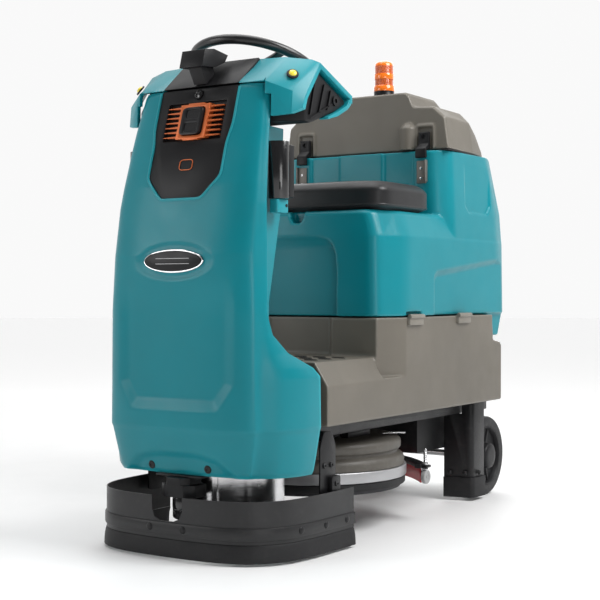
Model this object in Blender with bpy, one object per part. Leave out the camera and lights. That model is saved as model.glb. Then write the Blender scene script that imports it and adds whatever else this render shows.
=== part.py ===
"""Ride-on floor scrubber. Metres, +Z up, front towards -Y, the machine's left towards +X.
The origin is on the floor, under the middle of the bounding box."""

import math

import bmesh
import bpy
from mathutils import Matrix, Vector

# Driving dimensions
GAP = 0.0006  # clearance between touching pieces
HALF_WIDTH = 0.290  # base and tank
SPLIT_Z = 0.578  # top of the base
LEDGE_Z = 0.872  # top of the tank under the seat
TANK_TOP_Z = 1.062
LID_TOP_Z = 1.242
BASE_Z = 0.312  # underside of the base
STEP_Z = 0.472
STEP_FRONT_Y = -0.460
RISER_Y = -0.166
TANK_REAR_Y = 0.640
COVER_TOP_Z = 1.159
COVER_WALL = 0.005
SKIRT_WALL = 0.003
REAR_AXLE_Y, REAR_WHEEL_R, REAR_WHEEL_IN, REAR_WHEEL_OUT = 0.6158, 0.125, 0.170, 0.218
STEER_Y, DRIVE_WHEEL_R, DRIVE_WHEEL_HALF = -0.478, 0.105, 0.028
SHROUD_Y, SHROUD_R = -0.470, 0.150
LIFT_Y = -0.215  # deck's actuator
DECK_Y, DECK_R, DECK_TOP_Z = -0.088, 0.270, 0.250
SQUEEGEE_Y, SQUEEGEE_END_X, SQUEEGEE_BEND = 0.240, 0.262, 2.30
WHEEL_CENTRE = Vector((0, -0.360, 1.237))  # steering wheel
WHEEL_TILT = math.radians(20)
WHEEL_R, WHEEL_GRIP_R = 0.180, 0.013
CONSOLE_TILT = math.radians(22.2)
CONSOLE_REAR_Y, CONSOLE_REAR_Z = -0.318, 1.158
LID_PIVOT = (0, 0.566, 1.064)
TANK_PIVOT = (0.297, 0.140, 0.580)
LATCH_X, LATCH_PIVOT_Y, LATCH_PIVOT_Z = 0.208, 0.183, 1.044
PANEL_SLOPE = 0.30  # lean of the sensor panel, Y per Z
PEDAL_PIVOT = (-0.110, -0.420, 0.482)
CONSOLE_NORMAL = Vector((0, math.sin(CONSOLE_TILT), math.cos(CONSOLE_TILT)))
WHEEL_AXIS = Vector((0, math.sin(WHEEL_TILT), math.cos(WHEEL_TILT)))

COLOURS = {
    "teal": ((0.020, 0.235, 0.275), 0.35, 0),
    "taupe": ((0.190, 0.170, 0.145), 0.50, 0),
    "black": ((0.018, 0.018, 0.019), 0.45, 0),
    "charcoal": ((0.045, 0.045, 0.047), 0.40, 0),
    "rubber": ((0.022, 0.022, 0.023), 0.80, 0),
    "orange": ((0.620, 0.150, 0.035), 0.40, 0.3),
    "amber": ((0.850, 0.270, 0.030), 0.20, 0),
    "yellow": ((0.800, 0.640, 0.050), 0.25, 0),
    "steel": ((0.550, 0.550, 0.560), 0.30, 1),
    "silver": ((0.420, 0.420, 0.430), 0.45, 0.6),
    "red": ((0.550, 0.020, 0.025), 0.35, 0),
    "grey": ((0.400, 0.400, 0.400), 0.50, 0),
    "green": ((0.030, 0.300, 0.080), 0.40, 0),
    "deck": ((0.110, 0.100, 0.088), 0.50, 0),
    "glass": ((0.010, 0.020, 0.030), 0.10, 0),
}


def clear_scene():
    for item in list(bpy.data.objects):
        bpy.data.objects.remove(item)


def material(name):
    made = bpy.data.materials.new(name)
    made.use_nodes = True
    colour, roughness, metallic = COLOURS[name]
    shader = made.node_tree.nodes["Principled BSDF"]
    shader.inputs["Base Color"].default_value = (*colour, 1)
    shader.inputs["Roughness"].default_value = roughness
    shader.inputs["Metallic"].default_value = metallic
    return made


# Shapes. Each returns a new object whose mesh is in world coordinates.


def shape(bm):
    bmesh.ops.recalc_face_normals(bm, faces=bm.faces)
    mesh = bpy.data.meshes.new("shape")
    bm.to_mesh(mesh)
    bm.free()
    made = bpy.data.objects.new("shape", mesh)
    bpy.context.scene.collection.objects.link(made)
    return made


def loft(rings, closed=False):
    """A solid through rings of equally many points, capped at both ends unless it closes on itself."""
    bm = bmesh.new()
    rows = [[bm.verts.new(point) for point in ring] for ring in rings]
    count = len(rows[0])
    pairs = list(zip(rows, rows[1:]))
    if closed:
        pairs.append((rows[-1], rows[0]))
    for low, high in pairs:
        for i in range(count):
            j = (i + 1) % count
            bm.faces.new((low[i], low[j], high[j], high[i]))
    if not closed:
        for row in (rows[0], rows[-1]):
            cap = bm.faces.new(row)
            cap.normal_update()
            bmesh.ops.triangulate(bm, faces=[cap])
    return shape(bm)


def box(low, high):
    (x0, y0, z0), (x1, y1, z1) = low, high
    corners = ((x0, y0), (x1, y0), (x1, y1), (x0, y1))
    return loft([[(x, y, z) for x, y in corners] for z in (z0, z1)])


def prism(outline, axis, low, high):
    """An outline extruded along an axis. The outline holds the two other coordinates, in X, Y, Z order."""
    put = {
        "X": lambda a, b, at: (at, a, b),
        "Y": lambda a, b, at: (a, at, b),
        "Z": lambda a, b, at: (a, b, at),
    }[axis]
    return loft([[put(a, b, at) for a, b in outline] for at in (low, high)])


def lathe(profile, centre, direction, segments=24):
    """A closed (radius, height) outline turned about a direction. A radius of 0 lies on the axis."""
    turn = Vector((0, 0, 1)).rotation_difference(Vector(direction)).to_matrix()
    bm = bmesh.new()
    rows = []
    for radius, height in profile:
        if radius == 0:
            rows.append([bm.verts.new(Vector(centre) + turn @ Vector((0, 0, height)))])
            continue
        row = []
        for k in range(segments):
            angle = 2 * math.pi * k / segments
            spoke = Vector((radius * math.cos(angle), radius * math.sin(angle), height))
            row.append(bm.verts.new(Vector(centre) + turn @ spoke))
        rows.append(row)
    ends = list(zip(rows, rows[1:] + rows[:1]))
    for low, high in ends:
        if len(low) == 1 and len(high) == 1:
            continue
        for k in range(segments):
            j = (k + 1) % segments
            if len(low) == 1:
                bm.faces.new((low[0], high[j], high[k]))
            elif len(high) == 1:
                bm.faces.new((low[k], low[j], high[0]))
            else:
                bm.faces.new((low[k], low[j], high[j], high[k]))
    return shape(bm)


def cylinder(radius, low, high, centre, direction=(0, 0, 1), segments=20):
    return lathe([(0, low), (radius, low), (radius, high), (0, high)], centre, direction, segments)


def ring(inner, outer, low, high, centre, direction=(0, 0, 1), segments=32):
    profile = [(inner, low), (outer, low), (outer, high), (inner, high)]
    return lathe(profile, centre, direction, segments)


def is_closed(mesh):
    bm = bmesh.new()
    bm.from_mesh(mesh)
    closed = bool(bm.faces) and all(edge.is_manifold for edge in bm.edges)
    bm.free()
    return closed


def combined_mesh(target, tool, operation, solver):
    modifier = target.modifiers.new("combine", "BOOLEAN")
    modifier.operation = operation
    modifier.object = tool
    modifier.solver = solver
    bpy.context.view_layer.update()
    graph = bpy.context.evaluated_depsgraph_get()
    made = bpy.data.meshes.new_from_object(target.evaluated_get(graph))
    target.modifiers.clear()
    return made


def combine(target, tools, operation="UNION"):
    """Joins the tools to the target, or cuts them from it, and removes them. Thin walls can defeat EXACT."""
    for tool in tools:
        made = combined_mesh(target, tool, operation, "EXACT")
        if not is_closed(made):
            made = combined_mesh(target, tool, operation, "MANIFOLD")
        target.data = made
        bpy.data.objects.remove(tool)
    return target


def cut(target, *tools):
    return combine(target, tools, "DIFFERENCE")


def join(target, *tools):
    return combine(target, tools)


def offset(path, distance):
    """An open 2D path moved to its left by a distance, with mitred corners."""
    moved = []
    for i, point in enumerate(path):
        before = path[max(i - 1, 0)]
        after = path[min(i + 1, len(path) - 1)]
        here = Vector(point)
        first = (here - Vector(before)) if i else (Vector(after) - here)
        second = (Vector(after) - here) if i < len(path) - 1 else first
        first, second = first.normalized(), second.normalized()
        normal = Vector((-first.y - second.y, first.x + second.x)).normalized()
        cosine = max(normal.dot(Vector((-first.y, first.x))), 0.35)
        moved.append(tuple(here + normal * distance / cosine))
    return moved


def both_sides(half):
    """A path symmetric about X = 0, from its points at X >= 0, first point on X = 0."""
    return [(-x, y) for x, y in reversed(half[1:])] + list(half)


def band(path, thickness):
    """A closed outline: a path and its offset to the left."""
    return list(path) + list(reversed(offset(path, thickness)))


# The tree of moving bodies: an empty on each joint's axis


def joint_empty(name, location, parent=None):
    made = bpy.data.objects.new(name, None)
    bpy.context.scene.collection.objects.link(made)
    made.parent = parent
    origin = parent["at"] if parent else (0, 0, 0)
    made["at"] = list(location)
    made.location = Vector(location) - Vector(origin)
    return made


def node(name, part, colour, parent=None):
    """Names a finished shape, gives it its material and hangs it on its joint's empty."""
    part.name = name
    part.data.name = name
    part.data.materials.clear()
    part.data.materials.append(MATERIALS[colour])
    if parent:
        part.data.transform(Matrix.Translation(-Vector(parent["at"])))
        part.parent = parent
    part.data.shade_smooth()
    part.data.set_sharp_from_angle(angle=math.radians(30))
    return part


def console_point(x, y, height=0.0):
    """A point above the console's sloping top."""
    surface_z = CONSOLE_REAR_Z + (CONSOLE_REAR_Y - y) * math.tan(CONSOLE_TILT)
    return Vector((x, y, surface_z)) + CONSOLE_NORMAL * height


# Chassis


def rear_tray():
    """Box under the frame, behind the squeegee, open below."""
    tray = box((-0.138, 0.290, 0.160), (0.138, 0.530, 0.275))
    return cut(tray, box((-0.132, 0.296, 0.150), (0.132, 0.524, 0.264)))


def scanner_arms():
    plate = box((-0.070, -0.690, 0.1945), (0.070, -0.626, 0.199))
    return [plate] + [box((s * 0.060 - 0.008, -0.638, 0.196),
        (s * 0.060 + 0.008, -0.626, 0.290)) for s in (-1, 1)]


def chassis_frame():
    rail_low, rail_high = 0.272, 0.308
    rear = REAR_AXLE_Y + 0.030
    rails = [box((s * 0.185 - 0.015, -0.640, rail_low), (s * 0.185 + 0.015, rear, rail_high)) for s in (-1, 1)]
    crosses = [(-0.640, -0.610), (-0.002, 0.026), (0.205, 0.235), (0.525, 0.560), (rear - 0.060, rear - 0.001)]
    bars = [box((-0.199, low, rail_low + 0.002), (0.199, high, rail_high - 0.002)) for low, high in crosses]
    head = box((-0.180, STEER_Y - 0.060, 0.282), (0.180, STEER_Y + 0.060, 0.305))
    outrigger = box((-0.268, -0.452, 0.276), (0.268, -0.434, 0.300))
    ears = [box((s * 0.154 - 0.005, REAR_AXLE_Y - 0.030, 0.095),
        (s * 0.154 + 0.005, REAR_AXLE_Y + 0.030, 0.280)) for s in (-1, 1)]
    frame = join(rails[0], *bars, rails[1], head, outrigger, *ears, rear_tray(), *scanner_arms())
    spindle_hole = cylinder(0.0215, 0.270, 0.320, (0, STEER_Y, 0))
    axle_hole = cylinder(0.0126, -0.2, 0.2, (0, REAR_AXLE_Y, REAR_WHEEL_R), (1, 0, 0))
    frame = cut(frame, spindle_hole, axle_hole)
    return node("chassis_frame", frame, "black")


def base_body():
    side = [
        (STEP_FRONT_Y, BASE_Z), (STEP_FRONT_Y, STEP_Z), (RISER_Y, STEP_Z), (RISER_Y, SPLIT_Z),
        (0.498, SPLIT_Z), (0.505, 0.500), (0.556, 0.492), (0.566, 0.480), (0.563, BASE_Z),
    ]
    body = prism(side, "X", -HALF_WIDTH, HALF_WIDTH)
    toe_board = box((-0.212, -0.596, STEP_Z - 0.030), (0.212, STEP_FRONT_Y + 0.010, STEP_Z))
    body = join(body, toe_board)
    for s in (-1, 1):
        chamfer = [(s * 0.250, 0.4725), (s * 0.291, 0.411), (s * 0.310, 0.411), (s * 0.310, 0.480)]
        corner = [(s * 0.2575, RISER_Y - 0.01), (s * 0.330, RISER_Y - 0.01), (s * 0.2905, -0.055)]
        body = cut(body, prism(chamfer, "Y", -0.480, RISER_Y), prism(corner, "Z", 0.420, 0.590))
    calf = [(-0.130, RISER_Y - 0.01), (0.130, RISER_Y - 0.01), (0.104, RISER_Y + 0.022),
        (-0.104, RISER_Y + 0.022)]
    drive_bay = box((-0.236, -0.430, BASE_Z - 0.01), (0.236, -0.012, 0.456))
    battery_bay = box((-0.262, 0.006, 0.334), (0.262, 0.474, SPLIT_Z + 0.01))
    steering_notch = box((-0.075, STEP_FRONT_Y - 0.01, BASE_Z - 0.01), (0.075, -0.420, 0.400))
    body = cut(body, prism(calf, "Z", STEP_Z + 0.001, 0.590), drive_bay, battery_bay, steering_notch)
    for low in (-0.050, 0.250):
        leaf = box((0.270, low, 0.555), (0.300, low + 0.080, 0.5785))
        barrel = cylinder(0.007, low, low + 0.080, (TANK_PIVOT[0], 0, TANK_PIVOT[2]), (0, 1, 0), 12)
        body = join(body, leaf, barrel)
    return node("base_body", body, "taupe")


def cover_outline(z):
    """Outer half outline of the front cover at a height: a U, open to the rear."""
    front = ((0.196, -0.694), (0.310, -0.716), (0.740, -0.712), (0.910, -0.678), (1.010, -0.648),
        (1.160, -0.603))
    rear = ((0.196, -0.640), (0.600, -0.648), (0.740, -0.640), (0.860, -0.634), (1.000, -0.610),
        (1.160, -0.573))
    width = ((0.196, 0.212), (0.310, 0.236), (0.600, 0.232), (0.860, 0.222), (1.060, 0.205), (1.160, 0.190))
    flare = ((0.196, 0.86), (0.310, 1.0), (0.440, 1.0), (0.462, 0.86), (0.500, 0.38), (0.545, 0.10),
        (0.600, 0.0))
    y, w, f = at(front, z), at(width, z), at(flare, z)
    deep = at(rear, z) - y
    bends = ((0, 0), (0.38, 0.03), (0.66, 0.12), (0.84, 0.27), (0.94, 0.47), (0.985, 0.72))
    half = [(w * across, y + deep * back) for across, back in bends]
    flank = [(0.002, 0.90, 0.55, 0.030), (0.003, 0.96, 0.92, 0.090), (0.004, 1.0, 1.0, 0.150)]
    for out, back, spread, reach in flank:
        half.append((w + out * (1 - f) + spread * f * (HALF_WIDTH - w), y + deep * back + reach * f))
    return half


def at(table, value):
    """The value read from a table of (position, value) pairs, straight between them."""
    for (low, first), (high, second) in zip(table, table[1:]):
        if value <= high:
            return first + (second - first) * max(value - low, 0) / (high - low)
    return table[-1][1]


def front_cover():
    heights = (0.200, 0.250, 0.310, 0.380, 0.440, 0.462, 0.500, 0.545, 0.600, 0.740, 0.860, 0.960, 1.060,
        COVER_TOP_Z)
    rings = [[(x, y, z) for x, y in band(both_sides(cover_outline(z)), COVER_WALL)] for z in heights]
    cover = loft(rings)
    window = [(-0.121, 1.170), (-0.121, 1.060), (-0.112, 1.012), (-0.112, 0.930), (-0.062, 0.878)]
    window += [(-x, z) for x, z in reversed(window)]
    cover = cut(cover, prism(window, "Y", -0.760, -0.500))
    return node("front_cover", cover, "teal")


def sensor_panel():
    """Black panel in the cover's window, with a pocket for the heat sink."""
    half = [(0.1200, COVER_TOP_Z), (0.1200, 1.060), (0.1110, 1.012), (0.1110, 0.930), (0.0612, 0.879)]
    outline = [(-x, z) for x, z in half] + [(x, z) for x, z in reversed(half)]

    def front_y(z):
        return cover_outline(z)[0][1] + 0.004

    rings = [[(x, front_y(z) + back, z) for x, z in outline] for back in (0.0, 0.024)]
    panel = loft(rings)
    pocket = leaned(box((-0.090, -0.680, 1.024), (0.090, -0.6115, 1.122)))
    panel = cut(panel, pocket)
    return node("sensor_panel", panel, "charcoal")


def leaned(part):
    """The part sheared to the sensor panel's slope, about the middle of its pocket."""
    shear = Matrix.Identity(4)
    shear[1][2] = PANEL_SLOPE
    shear[1][3] = -PANEL_SLOPE * 1.0725
    part.data.transform(shear)
    return part


def heat_sink():
    """Finned frame round the camera, lying in the panel's pocket."""
    y0, y1 = -0.632, -0.6122
    frame = box((-0.045, y0, 1.028), (0.045, y1, 1.117))
    for k in range(7):
        z = 1.0345 + k * 0.0125
        fin = [(-0.086, z - 0.001), (-0.044, z - 0.0022), (-0.044, z + 0.0022), (-0.086, z + 0.001)]
        frame = join(frame, prism(fin, "Y", y0 + 0.003, y1 - 0.001))
        frame = join(frame, prism([(-x, h) for x, h in fin], "Y", y0 + 0.003, y1 - 0.001))
    frame = cut(frame, box((-0.033, -0.660, 1.037), (0.033, -0.618, 1.109)))
    return node("heat_sink", leaned(frame), "orange")


def stereo_camera():
    body = box((-0.0324, -0.638, 1.0376), (0.0324, -0.6186, 1.1084))
    return node("stereo_camera", leaned(body), "black")


def tower_rear_cover():
    """Rear half of the tower, open to the front."""
    rows = (
        (STEP_Z + GAP, 0.212, -0.640, -0.575), (0.620, 0.208, -0.638, -0.568), (0.840, 0.203, -0.624, -0.512),
        (0.900, 0.199, -0.616, -0.500), (1.058, 0.183, -0.580, -0.470),
    )
    rings = []
    for z, w, y_side, y_rear in rows:
        half = [(0, y_rear), (w * 0.80, y_rear), (w * 0.94, y_rear - 0.012), (w * 0.98, y_side + 0.020),
            (w, y_side)]
        rings.append([(x, y, z) for x, y in band(both_sides(half), -COVER_WALL)])
    return node("tower_rear_cover", loft(rings), "teal")


def tower_frame():
    uprights = [box((s * 0.125 - 0.015, -0.632, 0.309), (s * 0.125 + 0.015, -0.604, 0.940)) for s in (-1, 1)]
    bars = [box((-0.130, -0.630, z), (0.130, -0.606, z + 0.025)) for z in (0.520, 0.720, 0.910)]
    foot = box((-0.198, -0.640, 0.309), (0.198, -0.560, 0.315))
    return node("tower_frame", join(uprights[0], *bars, uprights[1], foot), "black")


def side_sensor(side, s):
    """Half-round sensor housing beside the tower."""
    count = 8
    arc = [math.radians(-90 + 180 * k / count) for k in range(count + 1)]
    outline = [(s * (0.2085 + 0.0375 * math.cos(a)), -0.574 + 0.028 * math.sin(a)) for a in arc]
    body = prism(outline, "Z", 0.874, 1.014)
    return node(f"side_sensor_{side}", body, "charcoal")


# Console

CONSOLE_STATIONS = (
    (0.000, ((-0.602, 1.163), (-0.590, 1.1735), (-0.513, 1.238), (-0.318, 1.158), (-0.316, 1.136))),
    (0.192, ((-0.600, 1.161), (-0.588, 1.172), (-0.503, 1.233), (-0.317, 1.157), (-0.315, 1.136))),
    (0.198, ((-0.602, 1.074), (-0.600, 1.161), (-0.500, 1.232), (-0.317, 1.156), (-0.315, 1.136))),
    (0.256, ((-0.572, 1.082), (-0.566, 1.135), (-0.480, 1.224), (-0.316, 1.155), (-0.315, 1.134))),
    (0.273, ((-0.548, 1.096), (-0.538, 1.125), (-0.469, 1.216), (-0.315, 1.152), (-0.315, 1.133))),
)
CONSOLE_WALL = 0.012


def console_cover():
    """Top cover of the console, open below and at its sides."""
    rings = []
    for x, path in CONSOLE_STATIONS:
        rings.append([(x, y, z) for y, z in band(path, -CONSOLE_WALL)])
    mirrored = [[(-x, y, z) for x, y, z in ring_] for ring_ in reversed(rings[1:])]
    cover = loft(mirrored + rings)
    cover = cut(cover, box((-0.1186, -0.640, 1.100), (0.1186, -0.4975, 1.300)))
    for half_x, top in ((0.2105, 1.130), (0.1975, COVER_TOP_Z + 0.003)):
        cover = cut(cover, box((-half_x, -0.640, 1.000), (half_x, -0.560, top)))
    return node("console_cover", cover, "teal")


def console_strip():
    outline = [
        (-0.602, 1.163), (-0.513, 1.238), (-0.4982, 1.2320), (-0.4982, 1.2215), (-0.511, 1.2265),
            (-0.586, 1.163),
    ]
    return node("console_strip", prism(outline, "X", -0.118, 0.118), "charcoal")


def console_housing():
    """Black inner body of the console."""
    rings = []
    for x, y_front, shift in ((0.0, -0.566, 0.0), (0.185, -0.560, 0.0), (0.262, -0.520, -0.004)):
        outline = [
            (y_front, 1.150 + 6 * shift), (-0.494 - 5 * shift, 1.206 + 2 * shift), (-0.336, 1.142 + shift),
            (-0.336, 1.128), (-0.380, 1.106), (-0.500, 1.064), (y_front, 1.068),
        ]
        rings.append([(x, y, z) for y, z in outline])
    mirrored = [[(-x, y, z) for x, y, z in ring_] for ring_ in reversed(rings[1:])]
    return node("console_housing", loft(mirrored + rings), "charcoal")


def sensor_hood():
    """Angular cap on a short stem, standing on the console's strip."""
    cap = [(-0.640, 1.206), (-0.628, 1.250), (-0.590, 1.256), (-0.532, 1.2485), (-0.545, 1.228),
        (-0.586, 1.210)]
    stem = [(-0.600, 1.1685), (-0.622, 1.206), (-0.622, 1.216), (-0.575, 1.220), (-0.568, 1.1965)]
    hood = join(prism(cap, "X", -0.036, 0.036), prism(stem, "X", -0.020, 0.020))
    return node("sensor_hood", hood, "charcoal")


def marker_light(side, s):
    centre = Vector((s * 0.2375, -0.5406, 1.1760))
    outward = Vector((s * 0.53, -0.58, 0.62)).normalized()
    profile = [(0, 0), (0.0125, 0), (0.0125, 0.003), (0.010, 0.0035), (0.008, 0.008), (0.004, 0.0105),
        (0, 0.011)]
    return node(f"marker_light_{side}", lathe(profile, centre + outward * 0.0060, outward, 16), "yellow")


def display_screen():
    half_x, y0, y1, low, high = 0.062, -0.494, -0.448, 0.001, 0.008
    rings = []
    for x in (-half_x, half_x):
        rings.append([console_point(x, y, h) for y, h in ((y0, low), (y1, low), (y1, high), (y0, high))])
    return node("display_screen", loft(rings), "glass")


def badge_plate():
    """Plain oval plate on the front cover."""
    centre_z, half_x, half_z = 0.723, 0.092, 0.029
    count = 28
    angles = [2 * math.pi * k / count for k in range(count)]
    rings = []
    for grow, lift in ((1.0, -0.0008), (1.0, -0.005), (0.94, -0.007)):
        ring_ = []
        for angle in angles:
            x, z = grow * half_x * math.cos(angle), centre_z + grow * half_z * math.sin(angle)
            outline = cover_outline(z)
            surface = at([(px, py) for px, py in outline[:4]], abs(x))
            ring_.append((x, surface + lift - 0.0015, z))
        rings.append(ring_)
    return node("badge_plate", loft(rings), "steel")


# Front skirt, scanner and drive unit


def skirt_path(out=0.0):
    half = [
        (0, -0.734), (0.080, -0.732), (0.150, -0.724), (0.200, -0.708), (0.238, -0.682),
        (0.268, -0.642), (0.286, -0.590), (0.296, -0.500), (0.300, -0.352),
    ]
    return offset(both_sides(half), -out)


def skirt_wall(low, high, out, thickness):
    outline = band(skirt_path(out), thickness)
    return prism(outline, "Z", low, high)


def skirt_panel():
    panel = skirt_wall(0.050, 0.152, 0.0, SKIRT_WALL)
    notch = [(-0.046, 0.160), (-0.046, 0.118), (-0.036, 0.098), (-0.018, 0.092)]
    notch += [(-x, z) for x, z in reversed(notch)]
    return node("skirt_panel", cut(panel, prism(notch, "Y", -0.760, -0.690)), "charcoal")


def skirt_band():
    """Clamp band round the skirt, with its bolts."""
    clamp = skirt_wall(0.060, 0.088, 0.0022, -0.0016)
    half = skirt_path(0.003)[8:]
    bolts = []
    for start, along in ((0, 0.84), (5, 0.80), (6, 0.85), (7, 0.75)):
        first, last = Vector(half[start]), Vector(half[start + 1])
        spot, run = first.lerp(last, along), (last - first).normalized()
        for s in (-1, 1):
            dome = [(0, -0.0005), (0.0075, -0.0005), (0.0065, 0.0035), (0, 0.0055)]
            bolts.append(lathe(dome, (s * spot.x, spot.y, 0.075), (s * run.y, -run.x, 0), 8))
    return node("skirt_band", join(clamp, *bolts), "charcoal")


def skirt_rubber():
    """Rubber lip inside the skirt, flaring outwards at the floor."""
    rings = []
    for z, out in ((0.006, 0.0060), (0.030, 0.0050), (0.0495, 0.0005)):
        rings.append([(x, y, z) for x, y in band(skirt_path(out), 0.005)])
    return node("skirt_rubber", loft(rings), "rubber")


def skirt_bracket(side, s):
    """Plate that hangs the skirt from the frame's outrigger."""
    plate = box((s * 0.2740 - 0.0025, -0.474, 0.110), (s * 0.2740 + 0.0025, -0.402, 0.300))
    foot = box((s * 0.2815 - 0.0090, -0.440, 0.110), (s * 0.2815 + 0.0090, -0.400, 0.150))
    bolts = [cylinder(0.007, 0.270, 0.2815, (0, y, 0.215), (s, 0, 0), 8) for y in (-0.456, -0.424)]
    return node(f"skirt_bracket_{side}", join(plate, foot, *bolts), "black")


def scanner():
    """Low laser scanner: a faceted housing over a round turret."""
    half = [(0, -0.708), (0.030, -0.708), (0.052, -0.688), (0.052, -0.644), (0.030, -0.630)]
    outline = both_sides(half)
    housing = prism(outline, "Z", 0.146, 0.176)
    roof = prism([(x * 0.7, y) for x, y in outline], "Z", 0.175, 0.194)
    turret = cylinder(0.026, 0.112, 0.148, (0, -0.670, 0))
    return node("scanner", join(housing, roof, turret), "black")


def wheel_shroud():
    """Bright sheet bent round the front of the drive wheel."""
    count = 18
    angles = [math.radians(170 + 200 * k / count) for k in range(count + 1)]
    path = [(SHROUD_R * math.cos(a), SHROUD_Y + SHROUD_R * math.sin(a)) for a in angles]
    sheet = prism(band(path, 0.002), "Z", 0.070, 0.2712)
    return node("wheel_shroud", sheet, "steel")


def steer_fork(parent):
    """Steered fork: spindle, crown and two legs, with its sprocket on top."""
    centre = (0, STEER_Y, 0)
    crown = cylinder(0.075, 0.228, 0.246, centre)
    spindle = cylinder(0.021, 0.240, 0.362, centre)
    bearing = cylinder(0.045, 0.240, 0.276, centre)
    sprocket = cylinder(0.052, 0.340, 0.348, centre, segments=24)
    legs = [box((s * 0.043 - 0.005, STEER_Y - 0.022, 0.075),
        (s * 0.043 + 0.005, STEER_Y + 0.022, 0.235)) for s in (-1, 1)]
    fork = join(crown, spindle, bearing, sprocket, *legs)
    axle_hole = cylinder(0.0106, -0.07, 0.07, (0, STEER_Y, DRIVE_WHEEL_R), (1, 0, 0))
    return node("steer_fork", cut(fork, axle_hole), "black", parent)


def drive_wheel(parent):
    """Tyre, hub motor and stub axles in one turning piece."""
    w, r = DRIVE_WHEEL_HALF, DRIVE_WHEEL_R
    profile = [
        (0, -0.047), (0.010, -0.047), (0.010, -0.033), (0.060, -0.032), (0.062, -w), (r - 0.004, -w),
            (r, -w + 0.005),
        (r, w - 0.005), (r - 0.004, w), (0.062, w), (0.060, 0.032), (0.010, 0.033), (0.010, 0.047),
            (0, 0.047),
    ]
    wheel = lathe(profile, (0, STEER_Y, r), (1, 0, 0), 32)
    return node("drive_wheel", wheel, "rubber", parent)


# Steering


def steering_wheel(parent):
    rings = []
    turn = Vector((0, 0, 1)).rotation_difference(WHEEL_AXIS).to_matrix()
    sides, steps = 8, 32
    for k in range(steps):
        around = 2 * math.pi * k / steps
        out = Vector((math.cos(around), math.sin(around), 0))
        ring_ = []
        for j in range(sides):
            a = 2 * math.pi * j / sides
            spot = out * (WHEEL_R - WHEEL_GRIP_R + WHEEL_GRIP_R * math.cos(a))
            ring_.append(WHEEL_CENTRE + turn @ (spot + Vector((0, 0, WHEEL_GRIP_R * math.sin(a)))))
        rings.append(ring_)
    rim = loft(rings, closed=True)
    hub_profile = [(0, -0.052), (0.020, -0.052), (0.020, -0.030), (0.034, -0.030), (0.042, 0.0),
        (0.036, 0.012), (0, 0.016)]
    hub = lathe(hub_profile, WHEEL_CENTRE, WHEEL_AXIS, 20)
    spokes = []
    for angle in (90, 210, 330):
        direction = Vector((math.cos(math.radians(angle)), math.sin(math.radians(angle)), 0))
        across = Vector((-direction.y, direction.x, 0))
        rings = []
        for reach, half, low, high in ((0.030, 0.016, -0.012, 0.002), (0.164, 0.011, -0.005, 0.004)):
            corners = ((-half, low), (half, low), (half, high), (-half, high))
            rings.append([WHEEL_CENTRE + turn @ (direction * reach + across * a + Vector((0, 0, b))) for a,
                b in corners])
        spokes.append(loft(rings))
    return node("steering_wheel", join(rim, *spokes, hub), "black", parent)


# Rear wheels


def rear_axle():
    axle = cylinder(0.012, -0.216, 0.216, (0, REAR_AXLE_Y, REAR_WHEEL_R), (1, 0, 0), 16)
    return node("rear_axle", axle, "steel")


def rear_wheel(side, s, parent):
    """Tyre, dished rim and the hub cap that stands out of it."""
    r, inner, outer = REAR_WHEEL_R, REAR_WHEEL_IN, REAR_WHEEL_OUT
    profile = [
        (0.0126, inner), (r - 0.008, inner), (r, inner + 0.008), (r, outer - 0.008), (r - 0.008, outer),
        (0.088, outer), (0.084, outer - 0.014), (0.040, outer - 0.016), (0.040, outer + 0.008),
            (0.032, outer + 0.013),
        (0, outer + 0.013), (0, outer + 0.001), (0.0126, outer + 0.001),
    ]
    wheel = lathe(profile, (0, REAR_AXLE_Y, r), (s, 0, 0), 32)
    return node(f"rear_wheel_{side}", wheel, "rubber", parent)


def wheel_guard(side, s):
    """Bent sheet in front of a rear wheel, with a bolted rubber strip at its foot."""
    path = [(s * 0.146, 0.452), (s * 0.236, 0.470), (s * 0.238, 0.548)]
    guard = prism(band(path, s * 0.004), "Z", 0.058, 0.3085)
    strip = prism(band([(s * 0.146, 0.4475), (s * 0.2405, 0.4665), (s * 0.2430, 0.548)], s * 0.006), "Z",
        0.010, 0.072)
    bolts = []
    for x, y, nx, ny in ((0.166, 0.4505, 0.2, -1), (0.214, 0.4600, 0.2, -1), (0.2420, 0.505, 1, 0)):
        dome = [(0, -0.003), (0.007, -0.003), (0.006, 0.003), (0, 0.005)]
        bolts.append(lathe(dome, (s * x, y, 0.052), (s * nx, ny, 0), 8))
    rail_slot = box((s * 0.185 - 0.0160, 0.440, 0.2710), (s * 0.185 + 0.0160, 0.500, 0.3200))
    return node(f"wheel_guard_{side}", cut(join(guard, strip, *bolts), rail_slot), "charcoal")


# Scrub deck


def deck_housing(parent):
    r, top = DECK_R, DECK_TOP_Z
    profile = [
        (0, top), (0.090, top), (0.240, top - 0.006), (0.252, top - 0.014), (0.254, top - 0.034),
            (0.244, top - 0.040),
        (0.244, top - 0.048), (0.260, top - 0.054), (0.264, top - 0.082), (0.2585, top - 0.082),
            (0.2555, top - 0.065),
        (0, top - 0.065),
    ]
    return node("deck_housing", lathe(profile, (0, DECK_Y, 0), (0, 0, 1), 48), "deck", parent)


def deck_band(parent):
    low, high = 0.1375, 0.1670
    hoop = ring(0.2590, DECK_R, low, high, (0, DECK_Y, 0), segments=48)
    return node("deck_band", hoop, "silver", parent)


def splash_skirt(parent):
    profile = [(0.2570, 0.1160), (0.2665, 0.1160), (0.2665, 0.1369), (0.2590, 0.1369), (0.2570, 0.1350)]
    return node("splash_skirt", lathe(profile, (0, DECK_Y, 0), (0, 0, 1), 48), "rubber", parent)


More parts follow.
